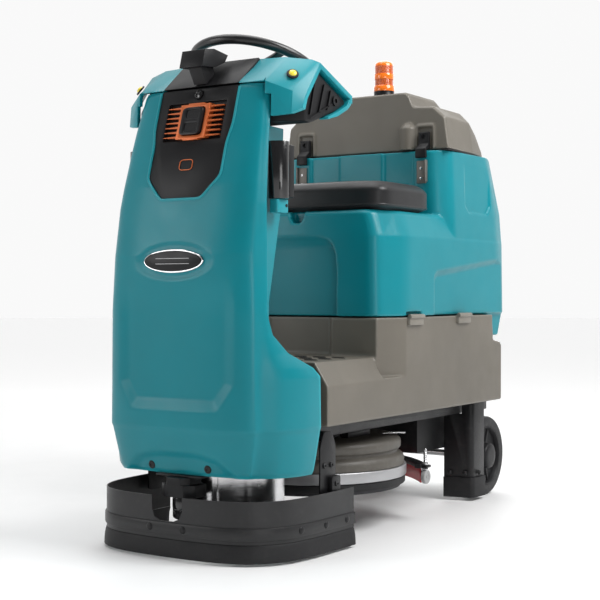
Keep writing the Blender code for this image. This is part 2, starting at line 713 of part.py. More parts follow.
def brush_motor(parent):
    """Motor and gearbox standing on the deck."""
    low = DECK_TOP_Z + GAP
    profile = [(0, low), (0.078, low), (0.078, 0.276), (0.066, 0.284), (0.066, 0.398), (0.060, 0.404),
        (0, 0.404)]
    return node("brush_motor", lathe(profile, (0, DECK_Y, 0), (0, 0, 1), 24), "black", parent)


def lift_rod(parent):
    rod = cylinder(0.010, DECK_TOP_Z + GAP, 0.440, (0, LIFT_Y, 0), segments=12)
    return node("lift_rod", rod, "steel", parent)


def lift_actuator():
    """Electric actuator in the drive bay that raises the deck."""
    tube = ring(0.0112, 0.024, 0.322, 0.4550, (0, LIFT_Y, 0), segments=16)
    return node("lift_actuator", tube, "black")


def scrub_brush(parent):
    """Pad driver and its pad, turning under the deck."""
    profile = [(0, 0.106), (0.254, 0.106), (0.254, 0.134), (0.230, 0.150), (0.080, 0.152), (0.080, 0.1838),
        (0, 0.1838)]
    return node("scrub_brush", lathe(profile, (0, DECK_Y, 0), (0, 0, 1), 48), "black", parent)


# Squeegee


def squeegee_path():
    count = 8
    xs = [SQUEEGEE_END_X * k / count for k in range(count + 1)]
    return both_sides([(x, SQUEEGEE_Y - SQUEEGEE_BEND * x * x) for x in xs])


def squeegee_frame(parent):
    bar = prism(band(offset(squeegee_path(), -0.014), 0.028), "Z", 0.148, 0.162)
    block = box((-0.036, SQUEEGEE_Y - 0.025, 0.160), (0.036, SQUEEGEE_Y + 0.025, 0.205))
    pipe = cylinder(0.022, 0.158, 0.240, (0, SQUEEGEE_Y, 0), segments=16)
    arms = []
    for s in (-1, 1):
        arms.append(box((s * 0.262 - 0.010, 0.060, 0.1495), (s * 0.262 + 0.010, 0.098, 0.1635)))
        stem = cylinder(0.0045, 0.154, 0.205, (s * 0.276, 0.078, 0), segments=8)
        plate = box((s * 0.277 - 0.0115, 0.066, 0.1512), (s * 0.277 + 0.0115, 0.094, 0.1585))
        cheek = box((s * 0.2695 - 0.0018, 0.070, 0.112), (s * 0.2695 + 0.0018, 0.0855, 0.1525))
        arms += [plate, stem, cheek]
    return node("squeegee_frame", join(bar, block, pipe, *arms), "black", parent)


def squeegee_blade(parent):
    blade = prism(band(offset(squeegee_path(), 0.002), -0.004), "Z", 0.106, 0.1474)
    return node("squeegee_blade", blade, "red", parent)


def squeegee_roller(side, s, parent):
    roller = cylinder(0.020, -0.006, 0.006, (s * 0.2790, 0.078, 0.1255), (1, 0, 0), 16)
    return node(f"squeegee_roller_{side}", roller, "grey", parent)


# Batteries, tank, seat and lid


def battery(name, low_x):
    low_y, width, length = 0.020, 0.245, 0.430
    case = box((low_x, low_y, 0.3346), (low_x + width, low_y + length, 0.560))
    posts = [cylinder(0.010, 0.559, 0.572, (low_x + dx, low_y + 0.030, 0), segments=10) for dx in (0.050,
        width - 0.050)]
    return node(name, join(case, *posts), "black")


def tank_ring(z, front, side, rear, chamfer_x, chamfer_y, rear_half):
    half = [
        (0, front), (chamfer_x * 0.45, front), (chamfer_x, front), (side, front + chamfer_y),
            (side, rear - 0.10),
        (rear_half + 0.008, rear - 0.020), (rear_half - 0.020, rear), (0, rear),
    ]
    left = [(-x, y) for x, y in reversed(half[1:-1])]
    return [(x, y, z) for x, y in half + left]


def tank(parent):
    """Solution and recovery tank in one shell, with the seat's ledge in front."""
    w, low = HALF_WIDTH, SPLIT_Z + 0.004
    lower = loft([
        tank_ring(low, RISER_Y, w, TANK_REAR_Y, 0.257, 0.106, 0.262),
        tank_ring(0.806, RISER_Y + 0.001, w, TANK_REAR_Y - 0.006, 0.252, 0.112, 0.262),
        tank_ring(LEDGE_Z - 0.006, RISER_Y + 0.004, 0.266, TANK_REAR_Y - 0.012, 0.236, 0.118, 0.258),
        tank_ring(LEDGE_Z, RISER_Y + 0.012, 0.258, TANK_REAR_Y - 0.014, 0.230, 0.118, 0.250),
    ])
    upper = loft([
        tank_ring(0.792, 0.192, w - 0.002, TANK_REAR_Y - 0.006, 0.255, 0.030, 0.262),
        tank_ring(LEDGE_Z + 0.02, 0.190, w - 0.004, TANK_REAR_Y - 0.014, 0.255, 0.030, 0.258),
        tank_ring(TANK_TOP_Z, 0.190, w - 0.012, 0.582, 0.248, 0.030, 0.240),
    ])
    tail = prism([(0.516, 0.590), (0.516, 0.512), (0.600, 0.512), (0.632, 0.590)], "X", -0.262, 0.262)
    body = join(lower, upper, tail)
    calf = [(-0.130, RISER_Y - 0.01), (0.130, RISER_Y - 0.01), (0.104, RISER_Y + 0.022),
        (-0.104, RISER_Y + 0.022)]
    recovery = box((-0.210, 0.232, 0.730), (0.210, 0.535, 1.080))
    solution = box((-0.262, -0.118, 0.604), (0.262, 0.590, 0.704))
    head = box((-0.232, -0.118, 0.640), (0.232, 0.168, 0.845))
    neck = cylinder(0.030, 0.560, 0.660, (-0.160, 0, 0.660), (0, 1, 0), 16)
    notches = [box((0.278, low_y - 0.003, 0.560), (0.330, low_y + 0.083, 0.604)) for low_y in (-0.050, 0.250)]
    body = cut(body, prism(calf, "Z", 0.560, 0.800), recovery, solution, head, neck, *notches)
    collar = ring(0.030, 0.040, 0.620, 0.648, (-0.160, 0, 0.660), (0, 1, 0), 16)
    return node("tank", join(body, collar), "teal", parent)


def fill_cap(parent):
    profile = [(0, 0.6486), (0.041, 0.6486), (0.041, 0.664), (0.036, 0.668), (0, 0.668)]
    grip = box((-0.164, 0.664, 0.632), (-0.156, 0.676, 0.688))
    cap = join(lathe(profile, (-0.160, 0, 0.660), (0, 1, 0), 20), grip)
    return node("fill_cap", cap, "black", parent)


def smooth_points(points, steps):
    """Points along a smooth curve through the given ones."""
    path = [Vector(p) for p in points]
    ends = [path[0] * 2 - path[1]] + path + [path[-1] * 2 - path[-2]]
    found = []
    for a, b, c, d in zip(ends, ends[1:], ends[2:], ends[3:]):
        for k in range(steps):
            t = k / steps
            found.append(0.5 * (2 * b + (c - a) * t + (2 * a - 5 * b + 4 * c - d) * t * t + (3 * b - a - 3 * c + d) * t**3))
    return found + [path[-1]]


def drain_hose(parent):
    """Drain hose down the tank's back, held at both ends, with its plug."""
    route = [(0.160, 0.629, 0.900), (0.160, 0.648, 0.899), (0.162, 0.676, 0.860), (0.170, 0.684, 0.720),
        (0.176, 0.684, 0.560)]
    points = smooth_points(route, 4)
    sides, radius = 10, 0.021
    rings = []
    for i, point in enumerate(points):
        tangent = (points[min(i + 1, len(points) - 1)] - points[max(i - 1, 0)]).normalized()
        turn = Vector((0, 0, 1)).rotation_difference(tangent).to_matrix()
        angles = [2 * math.pi * k / sides for k in range(sides)]
        rings.append([point + turn @ Vector((radius * math.cos(a), radius * math.sin(a), 0)) for a in angles])
    plug = cylinder(0.027, 0.520, 0.566, (0.176, 0.684, 0), segments=14)
    return node("drain_hose", join(loft(rings), plug), "black", parent)


def vacuum_motor(parent):
    """Vacuum fan in the recovery chamber, under the lid."""
    profile = [(0, 0.890), (0.050, 0.890), (0.060, 0.900), (0.060, 1.000), (0.040, 1.010), (0.040, 1.040),
        (0, 1.040)]
    motor = lathe(profile, (-0.130, 0.460, 0), (0, 0, 1), 20)
    shelf = box((-0.2094, 0.380, 0.884), (-0.050, 0.5344, 0.892))
    return node("vacuum_motor", join(motor, shelf), "charcoal", parent)


def seat_cushion(parent):
    rings = []
    for z, inset in ((LEDGE_Z + GAP, 0.030), (LEDGE_Z + 0.012, 0.006), (0.915, 0.0), (0.945, 0.010),
        (0.962, 0.030)):
        x, y0, y1, r = 0.268 - inset, -0.158 + inset, 0.152 - inset, 0.040
        ring_ = []
        for cx, cy, start in ((x - r, y0 + r, -90), (x - r, y1 - r, 0), (-x + r, y1 - r, 90),
            (-x + r, y0 + r, 180)):
            for k in range(4):
                a = math.radians(start + 30 * k)
                ring_.append((cx + r * math.cos(a), cy + r * math.sin(a), z))
        rings.append(ring_)
    return node("seat_cushion", loft(rings), "black", parent)


def lid_ring(y, scale, drop, bottom_half):
    """Cross-section of the lid at one Y: raised middle, shoulders and sides."""
    low = TANK_TOP_Z + 0.005
    top = LID_TOP_Z - drop
    shoulder = max(top - 0.038, low + 0.07)
    half = [
        (0, top), (0.132 * scale, top), (0.142 * scale, top - 0.006), (0.158 * scale, shoulder),
        (0.218 * scale, shoulder - 0.002), (bottom_half - 0.022, shoulder - 0.046),
            (bottom_half - 0.004, low + 0.02), (bottom_half, low),
    ]
    left = [(-x, z) for x, z in reversed(half[1:])]
    return [(x, y, z) for x, z in left + half]


def lid(parent):
    shell = loft([
        lid_ring(0.211, 1.0, 0.006, 0.283), lid_ring(0.217, 1.0, 0.0, 0.285),
            lid_ring(0.400, 0.97, 0.0, 0.272),
        lid_ring(0.480, 0.93, 0.028, 0.254), lid_ring(0.535, 0.88, 0.085, 0.238),
            lid_ring(0.549, 0.84, 0.098, 0.226),
    ])
    hollow = box((-0.200, 0.236, 1.050), (0.200, 0.470, 1.136))
    boss = join(cylinder(0.021, 1.0675, 1.118, (0.136, 0.213, 0), segments=16),
        cylinder(0.016, 1.110, 1.128, (0.136, 0.214, 0), segments=16))
    return node("lid", cut(join(shell, boss), hollow), "taupe", parent)


def beacon(parent):
    """Warning light on the lid: base, lens bands and cap."""
    low = LID_TOP_Z + GAP
    profile = [
        (0, low), (0.033, low), (0.033, low + 0.014), (0.032, low + 0.016), (0.032, low + 0.029),
            (0.0285, low + 0.032),
        (0.0285, low + 0.056), (0.0295, low + 0.058), (0.0295, low + 0.076), (0.0285, low + 0.078),
        (0.0285, low + 0.108), (0.026, low + 0.116), (0.016, low + 0.121), (0, low + 0.122),
    ]
    return node("beacon", lathe(profile, (0, 0.331, 0), (0, 0, 1), 24), "amber", parent)


def latch(side, s, parent):
    """Strap latch that holds the lid down, pivoting on the tank."""
    x, y, z = s * LATCH_X, LATCH_PIVOT_Y, LATCH_PIVOT_Z
    outline = [
        (y - 0.0045, z - 0.004), (y + 0.0045, z - 0.004), (y + 0.0045, z + 0.0195), (0.2095, z + 0.025),
        (0.2095, 1.118), (0.199, 1.118), (0.199, z + 0.038), (y - 0.0045, z + 0.023),
    ]
    strap = prism(outline, "X", x - 0.017, x + 0.017)
    barrel = cylinder(0.006, x - 0.019, x + 0.019, (0, y, z), (1, 0, 0), 12)
    hook = cylinder(0.008, 0.1940, 0.2000, (x, 0, 1.1035), (0, 1, 0), 12)
    return node(f"latch_{side}", join(strap, barrel, hook), "rubber", parent)


# Controls


def mushroom(name, x, y, radius, height, colour, parent):
    """A button standing on the console, with room under it to travel."""
    low = 0.0062
    profile = [(0, low), (radius * 0.62, low), (radius * 0.62, low + height * 0.4),
        (radius, low + height * 0.5)]
    profile += [(radius * 0.92, low + height * 0.86), (radius * 0.5, low + height), (0, low + height)]
    return node(name, lathe(profile, console_point(x, y), CONSOLE_NORMAL, 16), colour, parent)


def ignition_key(x, y, parent):
    base = cylinder(0.009, 0.0020, 0.0070, console_point(x, y), CONSOLE_NORMAL, 12)
    corners = ((-0.011, 0.005), (0.011, 0.005), (0.011, 0.026), (-0.011, 0.026))
    rings = []
    for side in (-0.0012, 0.0012):
        rings.append([console_point(x + dx, y, h) + Vector((0, side * math.cos(CONSOLE_TILT), 0)) for dx,
            h in corners])
    return node("ignition_key", join(base, loft(rings)), "steel", parent)


def speed_dial(x, y, parent):
    profile = [(0, 0.0020), (0.014, 0.0020), (0.013, 0.015), (0.011, 0.018), (0, 0.018)]
    return node("speed_dial", lathe(profile, console_point(x, y), CONSOLE_NORMAL, 16), "grey", parent)


def drive_pedal(parent):
    x, y, z = PEDAL_PIVOT
    side = [(y + 0.008, z - 0.006), (y + 0.008, z + 0.006), (y - 0.110, z + 0.046), (y - 0.116, z + 0.034)]
    return node("drive_pedal", prism(side, "X", x - 0.045, x + 0.045), "rubber", parent)


def build():
    for side, s in (("left", 1), ("right", -1)):
        side_sensor(side, s)
        marker_light(side, s)
        skirt_bracket(side, s)
        wheel_guard(side, s)
        wheel_joint = joint_empty(f"rear_wheel_{side}_axis", (s * 0.194, REAR_AXLE_Y, REAR_WHEEL_R))
        rear_wheel(side, s, wheel_joint)
    for make in (
        chassis_frame, base_body, front_cover, sensor_panel, heat_sink, stereo_camera,
        tower_rear_cover, tower_frame, console_cover, console_strip, console_housing, sensor_hood,
        display_screen, badge_plate, skirt_panel, skirt_band, skirt_rubber, scanner,
        wheel_shroud, rear_axle, lift_actuator,
    ):
        make()
    battery("battery_right", -0.256)
    battery("battery_left", 0.011)

    steering_joint = joint_empty("steering_axis", WHEEL_CENTRE)
    steering_wheel(steering_joint)
    fork_joint = joint_empty("fork_axis", (0, STEER_Y, 0.250))
    steer_fork(fork_joint)
    drive_wheel(joint_empty("drive_wheel_axis", (0, STEER_Y, DRIVE_WHEEL_R), fork_joint))

    deck_joint = joint_empty("deck_slide", (0, DECK_Y, DECK_TOP_Z))
    for make in (deck_housing, deck_band, splash_skirt, brush_motor, lift_rod):
        make(deck_joint)
    scrub_brush(joint_empty("brush_axis", (0, DECK_Y, 0.120), deck_joint))
    squeegee_joint = joint_empty("squeegee_slide", (0, SQUEEGEE_Y, 0.180))
    squeegee_frame(squeegee_joint)
    squeegee_blade(squeegee_joint)
    for side, s in (("left", 1), ("right", -1)):
        squeegee_roller(side, s, joint_empty(f"roller_{side}_axis", (s * 0.279, 0.078, 0.1255),
            squeegee_joint))

    tank_joint = joint_empty("tank_axis", TANK_PIVOT)
    for make in (tank, seat_cushion, vacuum_motor, drain_hose):
        make(tank_joint)
    fill_cap(joint_empty("fill_cap_axis", (-0.160, 0.648, 0.660), tank_joint))
    lid_joint = joint_empty("lid_axis", LID_PIVOT, tank_joint)
    lid(lid_joint)
    beacon(lid_joint)
    for side, s in (("left", 1), ("right", -1)):
        latch(side, s, joint_empty(f"latch_{side}_axis", (s * LATCH_X, LATCH_PIVOT_Y, LATCH_PIVOT_Z),
            tank_joint))

    mushroom("emergency_stop", -0.222, -0.440, 0.017, 0.030, "red",
        joint_empty("stop_slide", console_point(-0.222, -0.440)))
    mushroom("start_button", 0.110, -0.455, 0.011, 0.010, "green",
        joint_empty("start_slide", console_point(0.110, -0.455)))
    ignition_key(0.210, -0.440, joint_empty("key_axis", console_point(0.210, -0.440)))
    speed_dial(-0.130, -0.470, joint_empty("dial_axis", console_point(-0.130, -0.470)))
    drive_pedal(joint_empty("pedal_axis", PEDAL_PIVOT))


clear_scene()
MATERIALS = {name: material(name) for name in COLOURS}
build()
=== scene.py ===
"""Looks of the ride-on floor scrubber: shells, soft parts, materials, light and camera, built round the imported
frame. Metres, +Z up, front towards -Y, the machine's left towards +X."""

import math

import bmesh
import bpy
from mathutils import Matrix, Vector


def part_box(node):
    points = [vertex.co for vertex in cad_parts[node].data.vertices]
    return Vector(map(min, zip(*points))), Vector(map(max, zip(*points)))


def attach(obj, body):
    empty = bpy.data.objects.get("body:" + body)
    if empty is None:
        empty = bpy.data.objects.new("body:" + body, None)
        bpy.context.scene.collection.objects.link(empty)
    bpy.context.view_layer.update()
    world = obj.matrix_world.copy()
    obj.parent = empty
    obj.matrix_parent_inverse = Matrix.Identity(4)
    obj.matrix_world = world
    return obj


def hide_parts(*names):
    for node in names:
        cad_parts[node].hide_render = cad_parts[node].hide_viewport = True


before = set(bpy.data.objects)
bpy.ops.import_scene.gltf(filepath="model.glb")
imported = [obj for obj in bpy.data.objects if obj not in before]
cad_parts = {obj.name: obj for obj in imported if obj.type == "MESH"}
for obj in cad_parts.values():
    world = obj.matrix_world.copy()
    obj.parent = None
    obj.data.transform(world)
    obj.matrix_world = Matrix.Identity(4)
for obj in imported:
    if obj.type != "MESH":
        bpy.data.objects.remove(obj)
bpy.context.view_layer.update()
SIDES = (("left", 1), ("right", -1))

# Places that the frame gives
COVER_LOW, COVER_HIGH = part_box("front_cover")
TANK_LOW, TANK_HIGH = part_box("tank")
BASE_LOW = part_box("base_body")[0]
LID_LOW, LID_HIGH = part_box("lid")
SEAT_LOW, SEAT_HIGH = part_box("seat_cushion")
HALF_WIDTH = -BASE_LOW.x
SPLIT_Z = TANK_LOW.z + 0.07
LEDGE_Z = SEAT_LOW.z - 0.0006
STEP_Z = 0.472
RISER_Y = TANK_LOW.y
TANK_TOP_Z = TANK_HIGH.z

# Centre lines shared by several pieces
DECK_Y = -0.088
DRIVE_Y = -0.478
REAR_AXLE_Y = 0.6158
LATCH_X = 0.208
BEACON_Y = 0.331
STEM_X, STEM_Y = 0.276, 0.08


# Materials. Each is procedural: colour drifts, roughness and fine bump come from noise.


def shader_of(name):
    made = bpy.data.materials.new(name)
    made.use_nodes = True
    return made, made.node_tree.nodes["Principled BSDF"], made.node_tree


def noise(tree, scale, detail=3.0, stretch=(1, 1, 1)):
    place = tree.nodes.new("ShaderNodeTexCoord")
    mapping = tree.nodes.new("ShaderNodeMapping")
    mapping.inputs["Scale"].default_value = stretch
    texture = tree.nodes.new("ShaderNodeTexNoise")
    texture.inputs["Scale"].default_value = scale
    texture.inputs["Detail"].default_value = detail
    tree.links.new(place.outputs["Object"], mapping.inputs["Vector"])
    tree.links.new(mapping.outputs["Vector"], texture.inputs["Vector"])
    return texture.outputs["Fac"]


def ranged(tree, source, low, high, out_low, out_high):
    node = tree.nodes.new("ShaderNodeMapRange")
    for key, value in (("From Min", low), ("From Max", high), ("To Min", out_low), ("To Max", out_high)):
        node.inputs[key].default_value = value
    tree.links.new(source, node.inputs["Value"])
    return node.outputs["Result"]


def mixed(tree, factor, first, second):
    node = tree.nodes.new("ShaderNodeMix")
    node.data_type = "RGBA"
    for socket, value in ((node.inputs["A"], first), (node.inputs["B"], second)):
        if isinstance(value, bpy.types.NodeSocket):
            tree.links.new(value, socket)
        else:
            socket.default_value = (*value, 1)
    tree.links.new(factor, node.inputs["Factor"])
    return node.outputs["Result"]


def surface(name, colour, roughness, metallic=0.0, drift=0.1, grain=0.15, grain_scale=900.0, edge=None,
            edge_highlight_amount=0.5, coat=0.0, sheen=0.0, stretch=(1, 1, 1), dust=0.0, shine=0.5):
    """A finish whose colour drifts, with a fine grain and, where an edge colour is given, lighter edges painted on
    as a highlight, as if light caught the rims.
    """
    made, shader, tree = shader_of(name)
    darker = [c * (1 - drift) for c in colour]
    lighter = [min(c * (1 + drift), 1) for c in colour]
    found = mixed(tree, ranged(tree, noise(tree, 5.0, 4.0, stretch), 0.3, 0.7, 0, 1), darker, lighter)
    if edge:
        # Painted highlight: sharp edges are lightened towards the edge colour, standing in for light catching the
        # rims.
        geometry = tree.nodes.new("ShaderNodeNewGeometry")
        edge_highlight_mask = ranged(tree, geometry.outputs["Pointiness"], 0.512, 0.57, 0, edge_highlight_amount)
        found = mixed(tree, edge_highlight_mask, found, edge)
    if dust:
        speck = ranged(tree, noise(tree, 60.0, 6.0), 0.52, 0.75, 0, dust)
        found = mixed(tree, speck, found, (0.3, 0.29, 0.27))
    tree.links.new(found, shader.inputs["Base Color"])
    rough = ranged(tree, noise(tree, 14.0, 5.0, stretch), 0.25, 0.75, max(roughness - 0.06, 0.02),
        roughness + 0.08)
    tree.links.new(rough, shader.inputs["Roughness"])
    bump = tree.nodes.new("ShaderNodeBump")
    bump.inputs["Strength"].default_value = grain
    bump.inputs["Distance"].default_value = 0.0004
    tree.links.new(noise(tree, grain_scale, 2.0, stretch), bump.inputs["Height"])
    tree.links.new(bump.outputs["Normal"], shader.inputs["Normal"])
    shader.inputs["Metallic"].default_value = metallic
    shader.inputs["Specular IOR Level"].default_value = shine
    shader.inputs["Coat Weight"].default_value = coat
    shader.inputs["Coat Roughness"].default_value = 0.12
    shader.inputs["Sheen Weight"].default_value = sheen
    return made


# In the teal and taupe finishes the edge colour is a painted highlight along the rims.
TEAL = surface("teal_plastic", (0.002, 0.205, 0.248), 0.34, edge=(0.07, 0.5, 0.56), edge_highlight_amount=0.3,
    coat=0.06,
               drift=0.05, shine=0.28)
TAUPE = surface("taupe_plastic", (0.128, 0.115, 0.094), 0.46, edge=(0.36, 0.34, 0.3), edge_highlight_amount=0.35,
    grain=0.3)
CHARCOAL = surface("charcoal_plastic", (0.011, 0.011, 0.012), 0.4, grain=0.35, grain_scale=700, shine=0.22)
BLACK = surface("black_plastic", (0.006, 0.006, 0.007), 0.34, grain=0.2, shine=0.3)
GLOSS_BLACK = surface("gloss_black", (0.008, 0.008, 0.009), 0.16, grain=0.03, coat=0.6)
SKIRT = surface("skirt_plastic", (0.02, 0.02, 0.021), 0.38, grain=0.25, dust=0.02, shine=0.35)
STEEL_BLACK = surface("black_powder_coat", (0.009, 0.009, 0.01), 0.36, grain=0.5, grain_scale=1400,
    dust=0.03, shine=0.3)
RUBBER = surface("black_rubber", (0.012, 0.012, 0.013), 0.6, grain=0.3, dust=0.02, shine=0.35)
TYRE = surface("tyre_rubber", (0.011, 0.011, 0.012), 0.58, grain=0.4, grain_scale=500, dust=0.08)
VINYL = surface("seat_vinyl", (0.01, 0.01, 0.011), 0.4, grain=0.55, grain_scale=420, sheen=0.05, shine=0.35)
GRIP = surface("wheel_grip", (0.01, 0.01, 0.011), 0.34, grain=0.25, grain_scale=600, coat=0.15)
ORANGE = surface("orange_aluminium", (0.64, 0.15, 0.04), 0.36, metallic=0.35, grain=0.2)
AMBER = surface("amber_lens", (0.95, 0.2, 0.015), 0.14, grain=0.02, coat=0.5)
AMBER_DARK = surface("amber_lens_dark", (0.56, 0.095, 0.01), 0.16, grain=0.02, coat=0.5)
YELLOW = surface("yellow_lens", (0.9, 0.73, 0.06), 0.18, grain=0.05, coat=0.5)
STEEL = surface("bright_steel", (0.62, 0.62, 0.63), 0.2, metallic=1.0, drift=0.06, grain=0.12,
    stretch=(1, 1, 9))
CHROME = surface("badge_chrome", (0.55, 0.55, 0.56), 0.16, metallic=1.0, drift=0.02, grain=0.02)
ZINC = surface("zinc_plate", (0.17, 0.16, 0.145), 0.44, metallic=0.5, grain=0.3, dust=0.08)
SILVER = surface("band_aluminium", (0.4, 0.4, 0.41), 0.38, metallic=0.55, grain=0.25)
DECK = surface("deck_metal", (0.088, 0.08, 0.068), 0.46, grain=0.35, dust=0.08)
BRISTLE = surface("brush_nylon", (0.03, 0.03, 0.034), 0.7, grain=0.8, grain_scale=300, stretch=(1, 1, 0.1))
RED_RUBBER = surface("red_rubber", (0.52, 0.014, 0.02), 0.4, grain=0.15)
RED = surface("red_plastic", (0.6, 0.012, 0.014), 0.22, grain=0.05, coat=0.3)
GREEN = surface("green_plastic", (0.02, 0.3, 0.07), 0.28, grain=0.05, coat=0.3)
GREY = surface("grey_plastic", (0.3, 0.3, 0.3), 0.42, grain=0.2)
SCREEN = surface("screen_glass", (0.006, 0.01, 0.014), 0.07, grain=0.01, coat=0.8)


# Shapes. Each returns a new object whose mesh is in the frame's coordinates.


def mm(*points):
    """Points given in millimetres."""
    return [tuple(value / 1000 for value in point) for point in points]


def linked(bm, name="part"):
    bmesh.ops.recalc_face_normals(bm, faces=bm.faces)
    mesh = bpy.data.meshes.new(name)
    bm.to_mesh(mesh)
    bm.free()
    made = bpy.data.objects.new(name, mesh)
    bpy.context.scene.collection.objects.link(made)
    return made


def loft(rings, closed=False, caps=True, wrap=True):
    """A skin through rings of equally many points."""
    bm = bmesh.new()
    rows = [[bm.verts.new(point) for point in ring] for ring in rings]
    count = len(rows[0])
    pairs = list(zip(rows, rows[1:]))
    if closed:
        pairs.append((rows[-1], rows[0]))
    for low, high in pairs:
        for i in range(count if wrap else count - 1):
            j = (i + 1) % count
            bm.faces.new((low[i], low[j], high[j], high[i]))
    if caps and not closed and wrap:
        bm.faces.new(rows[0])
        bm.faces.new(rows[-1])
    return linked(bm)


def prism(outline, axis, low, high):
    """An outline extruded along an axis. The outline holds the two other coordinates, in X, Y, Z order."""
    put = {
        "X": lambda a, b, at: (at, a, b),
        "Y": lambda a, b, at: (a, at, b),
        "Z": lambda a, b, at: (a, b, at),
    }[axis]
    return loft([[put(a, b, at) for a, b in outline] for at in (low, high)])


def box(low, high):
    (x0, y0, z0), (x1, y1, z1) = low, high
    return prism([(x0, y0), (x1, y0), (x1, y1), (x0, y1)], "Z", z0, z1)


def turned(direction):
    return Vector((0, 0, 1)).rotation_difference(Vector(direction)).to_matrix()


def around(count):
    """The cosines and sines of a full turn in equal steps."""
    angles = [2 * math.pi * k / count for k in range(count)]
    return [(math.cos(a), math.sin(a)) for a in angles]


def lathe(profile, centre, direction=(0, 0, 1), segments=64):
    """A closed (radius, height) outline turned about a direction. A radius of 0 lies on the axis."""
    turn = turned(direction)
    bm = bmesh.new()
    rows = []
    for radius, height in profile:
        spokes = [Vector((radius * c, radius * s, height)) for c,
            s in around(segments)[: segments if radius else 1]]
        rows.append([bm.verts.new(Vector(centre) + turn @ spoke) for spoke in spokes])
    for low, high in zip(rows, rows[1:] + rows[:1]):
        if len(low) == 1 and len(high) == 1:
            continue
        for k in range(segments):
            j = (k + 1) % segments
            if len(low) == 1:
                bm.faces.new((low[0], high[j], high[k]))
            elif len(high) == 1:
                bm.faces.new((low[k], low[j], high[0]))
            else:
                bm.faces.new((low[k], low[j], high[j], high[k]))
    return linked(bm)


def cylinder(radius, low, high, centre, direction=(0, 0, 1), segments=32):
    return lathe([(0, low), (radius, low), (radius, high), (0, high)], centre, direction, segments)


def smooth_points(points, steps, closed=False):
    """Points along a smooth curve through the given ones."""
    path = [Vector(p) for p in points]
    if closed:
        ends = [path[-1]] + path + path[:2]
    else:
        ends = [path[0] * 2 - path[1]] + path + [path[-1] * 2 - path[-2]]
    found = []
    for a, b, c, d in zip(ends, ends[1:], ends[2:], ends[3:]):
        for k in range(steps):
            t = k / steps
            cubic = 3 * b - a - 3 * c + d
            found.append(0.5 * (2 * b + (c - a) * t + (2 * a - 5 * b + 4 * c - d) * t * t + cubic * t**3))
    return found if closed else found + [path[-1]]


def tube(points, radius, sides=12, closed=False):
    """A round bar along a path."""
    path = [Vector(p) for p in points]
    rings = []
    along = None
    count = len(path)
    for i, point in enumerate(path):
        if closed:
            tangent = (path[(i + 1) % count] - path[i - 1]).normalized()
        else:
            tangent = (path[min(i + 1, count - 1)] - path[max(i - 1, 0)]).normalized()
        if along is None:
            along = Vector((0, 0, 1)).rotation_difference(tangent)
            last = tangent
        along = last.rotation_difference(tangent) @ along
        last = tangent
        rings.append([point + along @ Vector((radius * c, radius * s, 0)) for c, s in around(sides)])
    return loft(rings, closed=closed)


def rounded(outline, radius, steps=4):
    """A closed 2D outline with its corners rounded."""
    found = []
    count = len(outline)
    for i in range(count):
        before, here, after = (Vector(outline[(i + k) % count]) for k in (-1, 0, 1))
        reach = min(radius, 0.45 * (before - here).length, 0.45 * (after - here).length)
        first = here + (before - here).normalized() * reach
        last = here + (after - here).normalized() * reach
        for k in range(steps + 1):
            u = k / steps
            found.append(tuple(first * (1 - u) ** 2 + here * 2 * u * (1 - u) + last * u * u))
    return found


def rounded_box(x_low, y_low, x_high, y_high, radius, steps=4):
    return rounded([(x_low, y_low), (x_high, y_low), (x_high, y_high), (x_low, y_high)], radius, steps)


def centred(x, half, low, high):
    """A box that reaches equally far to both sides of x. Low and high hold its Y and Z."""
    return box((x - half, *low), (x + half, *high))


def offset(path, distance):
    """An open 2D path moved to its left by a distance, with mitred corners."""
    moved = []
    for i, point in enumerate(path):
        here = Vector(point)
        before, after = Vector(path[max(i - 1, 0)]), Vector(path[min(i + 1, len(path) - 1)])
        first = (here - before) if i else (after - here)
        second = (after - here) if i < len(path) - 1 else first
        first, second = first.normalized(), second.normalized()
        normal = Vector((-first.y - second.y, first.x + second.x)).normalized()
        cosine = max(normal.dot(Vector((-first.y, first.x))), 0.35)
        moved.append(tuple(here + normal * distance / cosine))
    return moved


def band(path, thickness):
    return list(path) + list(reversed(offset(path, thickness)))


def both_sides(half):
    return [(-x, y) for x, y in reversed(half[1:])] + list(half)


def mirrored(outline):
    """A closed outline from its half at X >= 0."""
    return list(outline) + [(-x, y) for x, y in reversed(outline)]


def applied(part):
    bpy.context.view_layer.update()
    graph = bpy.context.evaluated_depsgraph_get()
    mesh = bpy.data.meshes.new_from_object(part.evaluated_get(graph))
    part.modifiers.clear()
    part.data = mesh
    return part


def combined(part, tools, operation):
    for tool in tools:
        modifier = part.modifiers.new("combine", "BOOLEAN")
        modifier.operation = operation
        modifier.object = tool
        modifier.solver = "EXACT"
        applied(part)
        bpy.data.objects.remove(tool)
    return part


def cut(part, *tools):
    return combined(part, tools, "DIFFERENCE")


def join(part, *tools):
    return combined(part, tools, "UNION")


def gathered(*parts):
    """Several separate solids in one object."""
    bm = bmesh.new()
    for part in parts:
        bm.from_mesh(part.data)
        bpy.data.objects.remove(part)
    return linked(bm)


def thickened(part, thickness, side=0):
    """A sheet with a wall: side -1 grows it inwards, 0 both ways."""
    wall = part.modifiers.new("wall", "SOLIDIFY")
    wall.thickness = thickness
    wall.offset = side
    return applied(part)


def moulded(part, voxel=0.004, rounds=6, keep=0.35):
    """Rounds every edge the way a moulded shell has them."""
    remesh = part.modifiers.new("remesh", "REMESH")
    remesh.mode = "VOXEL"
    remesh.voxel_size = voxel
    smooth = part.modifiers.new("smooth", "SMOOTH")
    smooth.factor = 0.5
    smooth.iterations = rounds
    thin = part.modifiers.new("thin", "DECIMATE")
    thin.ratio = keep
    return applied(part)


def bevelled(part, width, segments=3, degrees=30):
    modifier = part.modifiers.new("bevel", "BEVEL")
    modifier.width = width
    modifier.segments = segments
    modifier.limit_method = "ANGLE"
    modifier.angle_limit = math.radians(degrees)
    modifier.harden_normals = False
    return applied(part)


